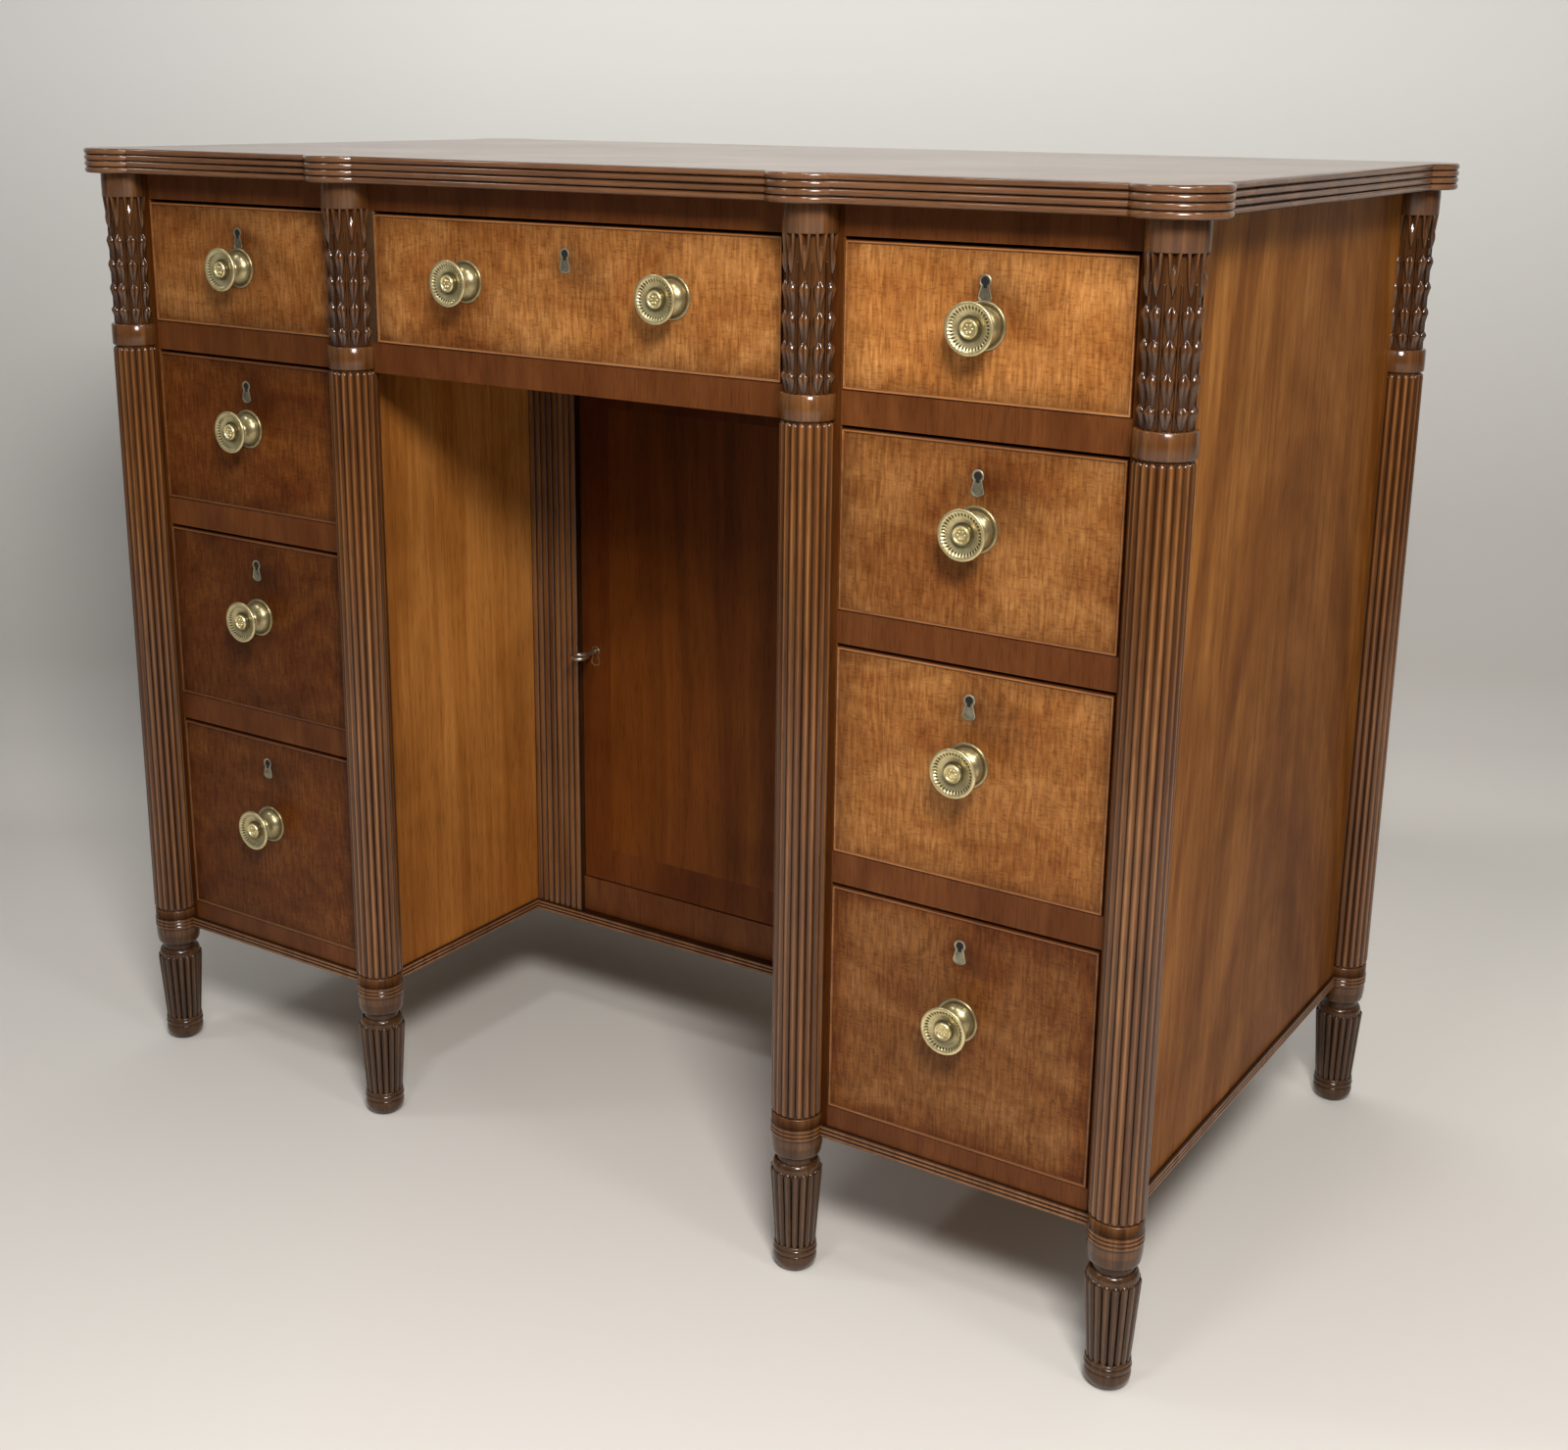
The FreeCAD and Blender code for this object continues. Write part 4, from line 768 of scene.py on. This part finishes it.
def top_mesh():
    """Reeds stacked as layers of the outline, closed by the underside and the top."""
    layers = []
    wear_and_shading = []
    pitch = (TOP_HIGH.z - TOP_LOW.z) / EDGE_REEDS
    for along, out in reeding(EDGE_REEDS, EDGE_REED_STEPS):
        outline = top_outline(EDGE_REED_DEPTH * (1 - out))
        layers.append((outline, TOP_LOW.z + pitch * along))
        # Painted shade in the grooves and painted highlight on the crests of the edge's reeds.
        wear_and_shading += [out ** 1.5 if along < EDGE_REEDS else 0.75] * len(outline)
    return mesh_from("desk_top", *stacked(layers), math.radians(45), wear_and_shading)


finished("desk_top", top_mesh(), "case", top_wood, ["top"])


# Cupboard stiles. Flat boards of the posts' mahogany at both sides of the door, worked with
# upright reeds and glued to the kneehole's boards and the cupboard's rails.
STILE_REEDS = 8
STILE_REED_DEPTH = 1.8 * MM
STILE_REED_STEPS = 8


def stile_mesh(name, low, high):
    """A flat board whose face is worked with upright reeds."""
    section = [(low.x, high.y)]
    wear_and_shading = [0.5]
    pitch = (high.x - low.x) / STILE_REEDS
    for along, out in reeding(STILE_REEDS, STILE_REED_STEPS):
        section.append((low.x + pitch * along, low.y + STILE_REED_DEPTH * (1 - out)))
        # Painted shade in the grooves and painted highlight on the crests.
        wear_and_shading.append(0.45 * out + 0.35 * out ** 6)
    section.append((high.x, high.y))
    wear_and_shading.append(0.5)
    solid = stacked([(section, low.z), (section, high.z)])
    return mesh_from(name, *solid, math.radians(45), wear_and_shading + wear_and_shading)


for side in ("left", "right"):
    stile = "cupboard_stile_" + side
    reeded = stile_mesh(stile, *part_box(stile))
    finished(stile + "_reeded", reeded, "case", carved_wood, [stile])


# Cupboard door. A frame round a flush panel, in dark mahogany with an upright grain, redder in the
# frame, and painted darker towards the top as painted shade.
DOOR_GRAIN = (15.0, 15.0, 1.1)
# Painted shade: the door is darker towards the top.
DOOR_TOP_SHADE = ("Z", 0.30, 0.62, PLAIN, (0.58, 0.50, 0.45))
door_wood = mahogany(
    "door mahogany", ((0.090, 0.024, 0.004), (0.155, 0.045, 0.007), (0.235, 0.076, 0.013)), DOOR_GRAIN,
    UPRIGHT_PORES, gloss=0.34, lustre=0.10, shading_fades=(DOOR_TOP_SHADE,))
paint(door_wood, "door_panel")
frame_wood = mahogany(
    "door frame mahogany", ((0.085, 0.021, 0.004), (0.112, 0.029, 0.005), (0.140, 0.040, 0.008)),
    UPRIGHT_GRAIN, UPRIGHT_PORES, gloss=0.34, lustre=0.10, shading_fades=(DOOR_TOP_SHADE,))
paint(frame_wood, "door_frame")


# Locks, key and hinges. Worn steel for the key, bolt and striker; dull brass for the lock's case
# and for the hinges, whose leaves lie in the gap beside the door.
METAL_PATCHES = (180.0, 180.0, 180.0)


def metal(name, clean, tarnished, roughness, wear_and_shading=None, bare=1.0):
    """Metal whose colour and shine change over its face.
    The hollow-to-crest ramp darkens its hollows, partly tarnish and partly painted shade, and bare is how
    much is free of a dull skin."""
    material, tree, surface = shader(name)
    coordinates = node(tree, "ShaderNodeTexCoord").outputs["Object"]
    patches = grain_noise(tree, coordinates, METAL_PATCHES, 4.0, 0.6)
    colour = ramp(tree, patches, (0.35, tarnished), (0.60, clean))
    if wear_and_shading:
        colour = stained_and_shaded(tree, 1.0, colour, ramp(tree, wear_and_shading_share(tree), *wear_and_shading))
    shine = ramp(tree, patches, (0.3, (roughness + 0.10,) * 3), (0.7, (roughness,) * 3))
    feed(tree, surface, {"Base Color": colour, "Roughness": shine, "Metallic": bare})
    return material


dull_brass = metal("dull brass", (0.52, 0.48, 0.34), (0.36, 0.32, 0.22), 0.38)
steel = metal("worn steel", (0.62, 0.58, 0.49), (0.45, 0.41, 0.34), 0.30)
paint(dull_brass, "hinge_case_leaves", "hinge_door_leaves", "door_lock")
paint(steel, "door_striker", "door_bolt", "door_key")


# Drawers. Fronts of mahogany veneer with a ripple figure across its level grain, each as light as its
# own wood and the painted shade of the light on it, darker towards the edges as painted shade, stained
# round the fittings where hands have stained it and with a painted shadow by each pull; a thin rounded
# bead is let in round each front and stands proud of the veneer. The boxes behind are oak.
BEAD_WIDTH = 2.2 * MM
BEAD_PROJECTION = 1.0 * MM
BEAD_STEPS = 8
FRONT_CELLS = 36
FRONT_GRAIN = (15.0, 34.0, 26.0)
FRONT_PORES = (210.0, 800.0, 820.0)
FRONT_RIPPLE = (430.0, 60.0, 56.0)
EDGE_SHADE = 24.0 * MM
# How light each front is: partly its wood's own tone, partly painted shade of the uneven light over the
# desk.
FRONT_TONES_AND_SHADES = {"drawer_left_top": 0.74, "drawer_left_upper": 0.32, "drawer_left_lower": 0.28,
               "drawer_left_bottom": 0.31, "drawer_right_upper": 0.67, "drawer_right_lower": 0.76,
               "drawer_right_bottom": 0.46, "drawer_right_top": 1.0, "drawer_centre": 0.84}
KEYHOLE_STAINS = ((2.0, 0.0, 11.0, 0.50), (18.0, -9.0, 20.0, 0.38))
# Painted shadow below and to the left of each pull.
PULL_SHADOW = ((-5.0, -9.0, 18.0, 0.25),)
DRAWERS = [name for name in frame["bodies"] if name.startswith("drawer_")]
front_wood = mahogany(
    "figured mahogany", ((0.330, 0.108, 0.022), (0.445, 0.178, 0.044), (0.585, 0.262, 0.078)),
    FRONT_GRAIN, FRONT_PORES, FRONT_RIPPLE, gloss=0.36, lustre=0.16,
    wear_and_shading=((0.0, (0.04, 0.022, 0.015)), (0.33, (0.31, 0.225, 0.14)), (0.48, (0.46, 0.45, 0.48)),
          (1.0, PLAIN)))
# The bead's ramp runs from painted shade through the wood to a pale grey painted highlight.
bead_wood = mahogany(
    "bead mahogany", ((0.260, 0.095, 0.026), (0.380, 0.150, 0.044), (0.520, 0.230, 0.078)), TOP_GRAIN,
    TOP_PORES, gloss=0.22, polish=0.15, lustre=0.30,
    wear_and_shading=((0.0, (0.16, 0.11, 0.09)), (0.35, (0.62, 0.58, 0.54)), (1.0, (1.35, 1.45, 1.60))))


def stains_and_shades_at(place, stains_and_shades):
    """Stains and painted shadows round a place, given in millimetres to the right and up, with their
    reach and strength.
    """
    return [(place.x + right * MM, place.z + up * MM, reach * MM, strength)
            for right, up, reach, strength in stains_and_shades]


def front_tone(drawer, low, high, stains_and_shades):
    """How light the veneer is at a place on a drawer front: the front's tone, partly its wood and partly
    painted shade, darkened by painted shade at its edges, by hand marks round the fittings and by a
    painted shadow by each pull.
    """
    chance = random.Random(drawer)
    depths = [chance.uniform(0.18, 0.50) for _ in range(4)]

    def tone(x, z):
        light = FRONT_TONES_AND_SHADES[drawer]
        for depth, distance in zip(depths, (x - low.x, high.x - x, z - low.z, high.z - z)):
            share = min(1.0, distance / EDGE_SHADE)
            light *= 1 - depth * (1 - share) ** 2
        for stain_x, stain_z, reach, strength in stains_and_shades:
            gap = math.hypot(x - stain_x, z - stain_z) / reach
            light *= 1 - strength * math.exp(-gap * gap)
        return light

    return tone


def front_mesh(name, low, high, tone):
    """A board whose face is divided finely and says how light it is."""
    points = []
    for row in range(FRONT_CELLS + 1):
        for column in range(FRONT_CELLS + 1):
            points.append((low.x + (high.x - low.x) * column / FRONT_CELLS, low.y,
                           low.z + (high.z - low.z) * row / FRONT_CELLS))
    faces = backed(points, FRONT_CELLS, FRONT_CELLS, lambda x, y, z: (x, high.y, z))
    return mesh_from(name, points, faces, wear_and_shading=[tone(x, z) for x, _, z in points])


def bead_mesh(name, low, high, light):
    """A strip with a rounded nose, mitred round a front, as light as the front it is let into, with a
    painted highlight on its crest and painted shade on its outer half.
    """
    shoulder = low.y + BEAD_PROJECTION
    section = [(0.0, high.y, 0.0)]
    for along, out in reeding(1, BEAD_STEPS):
        # Painted highlight on the crest and painted shade on the outer half of the bead.
        rubbed_and_shaded = max(out ** 9, 0.35 if along > 0.5 else 0.0)
        section.append((BEAD_WIDTH * along, shoulder - BEAD_PROJECTION * out, rubbed_and_shaded))
    section.append((BEAD_WIDTH, high.y, 0.0))
    points = []
    wear_and_shading = []
    for inset, y, rubbed_and_shaded in section:
        points += [(low.x + inset, y, low.z + inset), (high.x - inset, y, low.z + inset),
                   (high.x - inset, y, high.z - inset), (low.x + inset, y, high.z - inset)]
        wear_and_shading += [rubbed_and_shaded * light] * 4
    return mesh_from(name, points, sleeve(len(section), 4, closed=True), math.radians(35), wear_and_shading)


PULL_RADIUS = 16.6 * MM
KEYHOLE_DROP = 25.0 * MM
PULL_PLACES = {}
KEYHOLE_PLACES = {}
for drawer in DRAWERS:
    low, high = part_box(drawer + "_front")
    fittings_low, fittings_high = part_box(drawer + "_fittings")
    middle = (low.x + high.x) / 2
    face = low.y + BEAD_PROJECTION
    wide = drawer == "drawer_centre"
    across = [fittings_low.x + PULL_RADIUS, fittings_high.x - PULL_RADIUS] if wide else [middle]
    PULL_PLACES[drawer] = [Vector((x, face, fittings_low.z + PULL_RADIUS)) for x in across]
    KEYHOLE_PLACES[drawer] = Vector((middle, face, high.z - KEYHOLE_DROP))
    stains_and_shades = stains_and_shades_at(KEYHOLE_PLACES[drawer], KEYHOLE_STAINS)
    for place in PULL_PLACES[drawer]:
        stains_and_shades += stains_and_shades_at(place, PULL_SHADOW)
    inset = Vector((BEAD_WIDTH, 0.0, BEAD_WIDTH))
    veneer_low = low + inset + Vector((0.0, BEAD_PROJECTION, 0.0))
    veneer = front_mesh(drawer, veneer_low, high - inset, front_tone(drawer, low, high, stains_and_shades))
    finished(drawer + "_veneer", veneer, drawer, front_wood, [drawer + "_front"])
    bead = bead_mesh(drawer, low, high, FRONT_TONES_AND_SHADES[drawer])
    finished(drawer + "_bead", bead, drawer, bead_wood)
    paint(oak, drawer + "_box")


# Pulls. Cast and turned brass: a dished disc with a ring of small notches inside its rim and a
# raised boss with a rosette, on a waisted stem, over a domed rose that sits against the drawer
# front. The notches, the hollows and the stem are darkened, partly tarnish and partly painted shade.
NOTCH_COUNT = 36
NOTCH_STEPS = 4
NOTCH_WIDTH = 2
NOTCH_DEPTH_MM = 0.9
NOTCH_RADII_MM = (12.0, 14.0)
NOTCH_LEVEL_MM = 19.0
ROSETTE_COUNT = 6
PETAL_PLACE = Vector((2.4, 0.0, 20.3)) * MM
PETAL_RADII = Vector((0.95, 0.75, 0.8)) * MM
ROSE_MM = ((0.0, 0.0), (15.4, 0.0), (15.4, 0.7), (15.1, 1.2), (14.3, 1.5), (13.3, 1.3), (12.6, 1.1),
           (12.3, 2.4), (11.4, 4.2), (10.0, 5.8), (8.3, 7.1), (6.6, 8.0))
STEM_MM = ((5.4, 9.0), (5.0, 10.3), (5.1, 11.8), (5.9, 13.4), (7.6, 14.9))
DISC_MM = ((10.6, 16.2), (13.6, 17.2), (15.5, 18.0), (16.4, 18.9), (16.6, 19.6), (16.5, 20.3),
           (16.0, 20.7), (15.0, 20.8), (14.4, 20.7), (13.4, 20.1), (12.4, 19.5), (11.4, 18.9),
           (10.0, 18.2), (8.6, 17.7), (7.5, 17.5), (6.8, 17.7))
BOSS_MM = ((6.5, 18.5), (6.4, 19.7), (6.1, 20.8), (5.5, 21.4), (4.8, 21.3), (4.3, 20.8), (4.0, 20.2),
           (2.6, 20.1), (1.2, 20.5), (0.0, 20.7))
brass = metal("aged brass", (0.80, 0.69, 0.38), (0.63, 0.52, 0.26), 0.27,
              ((0.0, (0.05, 0.04, 0.025)), (1.0, PLAIN)), 0.82)


def pull_tarnish_and_shading(radius, height):
    """How bright the brass is at a radius and a height in millimetres.
    It is dull in the dish, by the boss, at the joints and on the stem, partly tarnish and partly painted
    shade."""
    if height > 17.4 and radius < 14.0:
        if 6.3 < radius < 7.6:
            return 0.22
        return 1.0 if height > 20.4 and radius > 4.5 else 0.66 + 0.34 * max(0.0, (height - 17.5) / 2.9)
    if height < 1.6 and 12.0 < radius < 13.8:
        return 0.30
    return 0.52 if height < 16.0 else 1.0


pull_section = [(radius * MM, height * MM) for radius, height in (*ROSE_MM, *STEM_MM, *DISC_MM, *BOSS_MM)]
turned_pull = lathe("pull", pull_section, NOTCH_COUNT * NOTCH_STEPS)
ball = bmesh.new()
bmesh.ops.create_uvsphere(ball, u_segments=8, v_segments=5, radius=1.0)
petal_form = Matrix.Translation(PETAL_PLACE) @ Matrix.Diagonal((*PETAL_RADII, 1.0))
bmesh.ops.transform(ball, matrix=petal_form, verts=ball.verts)
rosette = set_round("rosette", baked("petal", ball), [Vector((0.0, 0.0, 0.0))], ROSETTE_COUNT, brass)
both = bmesh.new()
both.from_mesh(turned_pull)
both.from_mesh(rosette)
whole_pull = smoothed(baked("pull", both), math.radians(50))
pull_shades = []
for point in whole_pull.vertices:
    radius = math.hypot(point.co.x, point.co.y) / MM
    height = point.co.z / MM
    shade = pull_tarnish_and_shading(radius, height)
    step = round(math.atan2(point.co.y, point.co.x) / math.tau * NOTCH_COUNT * NOTCH_STEPS)
    inner, outer = NOTCH_RADII_MM
    on_ring = inner < radius < outer and height > NOTCH_LEVEL_MM
    # The notches are cut in and painted dark: tarnish and painted shade.
    if on_ring and step % NOTCH_STEPS < NOTCH_WIDTH:
        point.co.z -= NOTCH_DEPTH_MM * MM
        shade = 0.0
    pull_shades.append(shade)
say_wear_and_shading(whole_pull, pull_shades)
FACE_FRONT = Matrix.Rotation(math.pi / 2, 4, "X")


def standing(mesh, place):
    """A copy of a mesh that was made lying on its back, stood up to face the front at a place."""
    copy = mesh.copy()
    copy.transform(Matrix.Translation(place) @ FACE_FRONT)
    return copy


for drawer in DRAWERS:
    for number, place in enumerate(PULL_PLACES[drawer]):
        finished("%s_pull_%d" % (drawer, number), standing(whole_pull, place), drawer, brass,
                 [drawer + "_fittings"] if number == 0 else [])


# Keyholes and drawer locks. A thin brass rim is let in round each keyhole and stands a little
# proud, with a pale worn plate inside it and a thin dark plate over its opening as painted shade of the
# hole; the lock is a brass block at the back of the front.
LINING_WALL = 1.1 * MM
LINING_HALF = 8.75 * MM
LINING_HEAD = 4.2 * MM
LINING_NECK = 3.0 * MM
LINING_FOOT = 4.8 * MM
LINING_FOOT_RISE = 3.0 * MM
LINING_SIDE = 0.35 * MM
LINING_CREST = 0.6 * MM
LINING_CREST_INSET = 0.45 * MM
PLATE_INSET = 1.0 * MM
PLATE_FACE = 0.12 * MM
HOLE_HEAD = 2.7 * MM
HOLE_SLOT = 1.25 * MM
HOLE_FOOT = 0.2 * MM
HOLE_FACE = 0.16 * MM
HOLE_SPECKLE = (900.0, 900.0, 900.0)
LOCK_SIZE = Vector((56.0 * MM, 9.0 * MM, 38.0 * MM))
LOCK_DROP = 8.0 * MM
plate_brass = metal("worn plate", (0.40, 0.37, 0.27), (0.22, 0.20, 0.14), 0.45)
# Painted shade: the keyhole's opening is a flat near-black plate, speckled a little.
hole_dark, hole_tree, hole_surface = shader("keyhole dark")
hole_speckle = grain_noise(hole_tree, node(hole_tree, "ShaderNodeTexCoord").outputs["Object"], HOLE_SPECKLE)
feed(hole_tree, hole_surface, {
    "Base Color": ramp(hole_tree, hole_speckle, (0.3, (0.004, 0.003, 0.002)), (0.7, (0.014, 0.010, 0.007))),
    "Roughness": 0.9})


def keyhole_head(radius, slot):
    """The round head of a keyhole, from one side of the slot below it round to the other."""
    reach = math.asin(min(1.0, slot / radius))
    level = LINING_HALF - LINING_HEAD
    return arc((0.0, level), (radius, radius), reach - math.pi / 2, 1.5 * math.pi - reach, 16)


def keyhole_outline(inset):
    """A keyhole with a round head and a flared foot, counter-clockwise about its middle."""
    level = LINING_FOOT_RISE - LINING_HALF + inset
    foot = arc((0.0, level), (LINING_FOOT - inset, LINING_FOOT_RISE), math.pi, math.tau, 8)
    return foot + keyhole_head(LINING_HEAD - inset, LINING_NECK - inset)


def plate_mesh(name, outline, low, high):
    """A flat plate with the given outline."""
    return mesh_from(name, *stacked([(outline, low), (outline, high)]), math.radians(30))


outer = keyhole_outline(0.0)
inner = keyhole_outline(LINING_WALL)
rim = [(outer, 0.0), (outer, LINING_SIDE), (keyhole_outline(LINING_CREST_INSET), LINING_CREST),
       (inner, LINING_SIDE), (inner, 0.0)]
lining = mesh_from("lining", [(x, y, level) for outline, level in rim for x, y in outline],
                   sleeve(len(rim), len(outer), closed=True), math.radians(30))
sunk_plate = plate_mesh("sunk_plate", keyhole_outline(PLATE_INSET), 0.0, PLATE_FACE)
hole_outline = [(-HOLE_SLOT, HOLE_FOOT), (HOLE_SLOT, HOLE_FOOT), *keyhole_head(HOLE_HEAD, HOLE_SLOT)]
hole = plate_mesh("hole", hole_outline, 0.0, HOLE_FACE)
for drawer in DRAWERS:
    place = KEYHOLE_PLACES[drawer]
    finished(drawer + "_lining", standing(lining, place), drawer, dull_brass)
    finished(drawer + "_keyplate", standing(sunk_plate, place), drawer, plate_brass)
    finished(drawer + "_keyhole", standing(hole, place), drawer, hole_dark)
    left = place.x - LOCK_SIZE.x / 2
    right = place.x + LOCK_SIZE.x / 2
    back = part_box(drawer + "_fittings")[1].y
    front = back - LOCK_SIZE.y
    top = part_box(drawer + "_front")[1].z - LOCK_DROP
    lock = plate_mesh(drawer + "_lock", [(left, front), (right, front), (right, back), (left, back)],
                      top - LOCK_SIZE.z, top)
    finished(drawer + "_lock", lock, drawer, dull_brass)


# Studio. A pale sheet that runs from the floor up behind the desk and is clear when seen from its
# back, a grey surround that only the camera sees, soft light from the right, and the camera where
# the photograph was taken from.
CAMERA_PLACE = Vector((0.8748, -1.3234, 0.8221))
CAMERA_FORWARD = Vector((-0.53099, 0.80697, -0.25854)).normalized()
CAMERA_ROLL = 0.0087
CAMERA_LENS = 45.69
CAMERA_SENSOR = 36.0
CAMERA_SHIFT = (0.0211, -0.0641)
UP = Vector((0.0, 0.0, 1.0))
SHEET_DISTANCE = 2.30
SHEET_CURVE = 0.16
SHEET_HALF_WIDTH = 4.0
SHEET_HEIGHT = 3.0
SHEET_FRONT = -3.0
SURROUND_REACH = 8.0
CEILING_LIGHTS = (((-1.0, -0.9, 2.2), 3.5), ((0.3, -1.1, 2.3), 6.5), ((1.5, -0.5, 2.2), 5.0))

level_forward = Vector((CAMERA_FORWARD.x, CAMERA_FORWARD.y, 0.0)).normalized()
level_right = Vector((level_forward.y, -level_forward.x, 0.0))
base = Vector((CAMERA_PLACE.x, CAMERA_PLACE.y, 0.0))
curve = arc((SHEET_DISTANCE - SHEET_CURVE, SHEET_CURVE), (SHEET_CURVE, SHEET_CURVE),
            -math.pi / 2, 0.0, 12)
run = [(SHEET_FRONT, 0.0), *curve, (SHEET_DISTANCE, SHEET_HEIGHT)]
points = []
for distance, height in run:
    middle = base + level_forward * distance + UP * height
    points += [middle - level_right * SHEET_HALF_WIDTH, middle + level_right * SHEET_HALF_WIDTH]
sheet_mesh = bpy.data.meshes.new("backdrop")
sheet_mesh.from_pydata([tuple(point) for point in points], [],
                       [(2 * row, 2 * row + 1, 2 * row + 3, 2 * row + 2) for row in range(len(run) - 1)])
sheet_mesh.shade_smooth()
paper, paper_tree, paper_surface = shader("pale sheet")
paper_place = node(paper_tree, "ShaderNodeTexCoord").outputs["Object"]


def paper_shading(direction, low, high, low_shading, high_shading):
    """Painted light and shade that change along a level direction, between two distances over the sheet.
    """
    reach = node(paper_tree, "ShaderNodeVectorMath", {0: paper_place, 1: direction},
                 operation="DOT_PRODUCT")
    start = base.dot(direction)
    share = share_between(paper_tree, reach.outputs["Value"], low + start, high + start)
    return ramp(paper_tree, share, (0.0, low_shading), (1.0, high_shading))


# Painted light and shade on the sheet: darker farther back, on the left and low on the wall, lighter high
# on the wall.
paper_colour = paper_shading(level_forward, 0.9, 2.2, (0.80, 0.765, 0.715), (0.60, 0.575, 0.535))
left_shade = paper_shading(level_right, -1.2, -0.3, (0.78, 0.78, 0.79), PLAIN)
wall_shade = ramp(paper_tree, split(paper_tree, paper_place)["Z"],
                  (0.01, PLAIN), (0.07, (0.90, 0.90, 0.91)), (0.34, (0.94, 0.96, 0.98)),
                  (0.85, (1.24, 1.29, 1.33)))
for shade in (left_shade, wall_shade):
    paper_colour = stained_and_shaded(paper_tree, 1.0, paper_colour, shade)
feed(paper_tree, paper_surface, {"Base Color": paper_colour, "Roughness": 0.75})
one_sided = node(paper_tree, "ShaderNodeMixShader", {
    "Fac": node(paper_tree, "ShaderNodeNewGeometry").outputs["Backfacing"],
    1: paper_surface.outputs["BSDF"],
    2: node(paper_tree, "ShaderNodeBsdfTransparent").outputs["BSDF"]})
feed(paper_tree, paper_tree.nodes["Material Output"], {"Surface": one_sided.outputs["Shader"]})
sheet_mesh.materials.append(paper)
hang("backdrop", sheet_mesh)

surround_section = [(0.0, -SURROUND_REACH), (SURROUND_REACH, -SURROUND_REACH),
                    (SURROUND_REACH, SURROUND_REACH), (0.0, SURROUND_REACH)]
surround_mesh = lathe("surround", surround_section, 64)
surround = hang("surround", surround_mesh)
for ray in ("diffuse", "glossy", "transmission", "volume_scatter", "shadow"):
    setattr(surround, "visible_" + ray, False)
grey, grey_tree, grey_surface = shader("grey surround")
feed(grey_tree, grey_surface, {
    "Base Color": (0.0, 0.0, 0.0, 1.0),
    "Emission Color": (0.40, 0.395, 0.385, 1.0),
    "Emission Strength": 1.0})
surround_mesh.materials.append(grey)


def soft_light(name, place, aim, size, energy, colour=PLAIN):
    """A square soft box that looks at a point."""
    lamp = bpy.data.lights.new(name, "AREA")
    lamp.shape = "SQUARE"
    lamp.size = size
    lamp.energy = energy
    lamp.color = colour
    holder = hang(name, lamp)
    holder.location = place
    holder.rotation_euler = (Vector(aim) - Vector(place)).to_track_quat("-Z", "Y").to_euler()


soft_light("key light", (1.06, -1.28, 1.60), (0.20, -0.15, 0.45), 0.42, 32.0, (1.0, 0.97, 0.93))
soft_light("fill light", (-1.5, -2.2, 1.3), (-0.1, 0.0, 0.3), 1.6, 1.2, (0.95, 0.97, 1.0))
for number, (place, energy) in enumerate(CEILING_LIGHTS):
    soft_light("ceiling light %d" % number, place, (0.1, -0.1, 0.5), 0.25, energy)
soft_light("backdrop light", (-0.20, 0.30, 2.0), (-0.45, 0.66, 1.15), 1.0, 9.0)
world = bpy.data.worlds.new("studio")
world.use_nodes = True
sky_tree = world.node_tree
sky_height = split(sky_tree, node(sky_tree, "ShaderNodeTexCoord").outputs["Generated"])["Z"]
sky = ramp(sky_tree, sky_height, (0.0, (0.05, 0.05, 0.052)), (0.25, (0.08, 0.08, 0.083)),
           (0.75, (0.28, 0.284, 0.29)))
feed(sky_tree, sky_tree.nodes["Background"], {"Color": sky, "Strength": 1.0})
scene.world = world

upward = level_right.cross(CAMERA_FORWARD)
side = level_right * math.cos(CAMERA_ROLL) + upward * math.sin(CAMERA_ROLL)
turned = Matrix((side, side.cross(CAMERA_FORWARD), -CAMERA_FORWARD)).transposed()
lens = bpy.data.cameras.new("camera")
lens.lens = CAMERA_LENS
lens.sensor_width = CAMERA_SENSOR
lens.shift_x, lens.shift_y = CAMERA_SHIFT
camera = hang("camera", lens)
camera.matrix_world = Matrix.Translation(CAMERA_PLACE) @ turned.to_4x4()
scene.camera = camera
scene.view_settings.view_transform = "Standard"
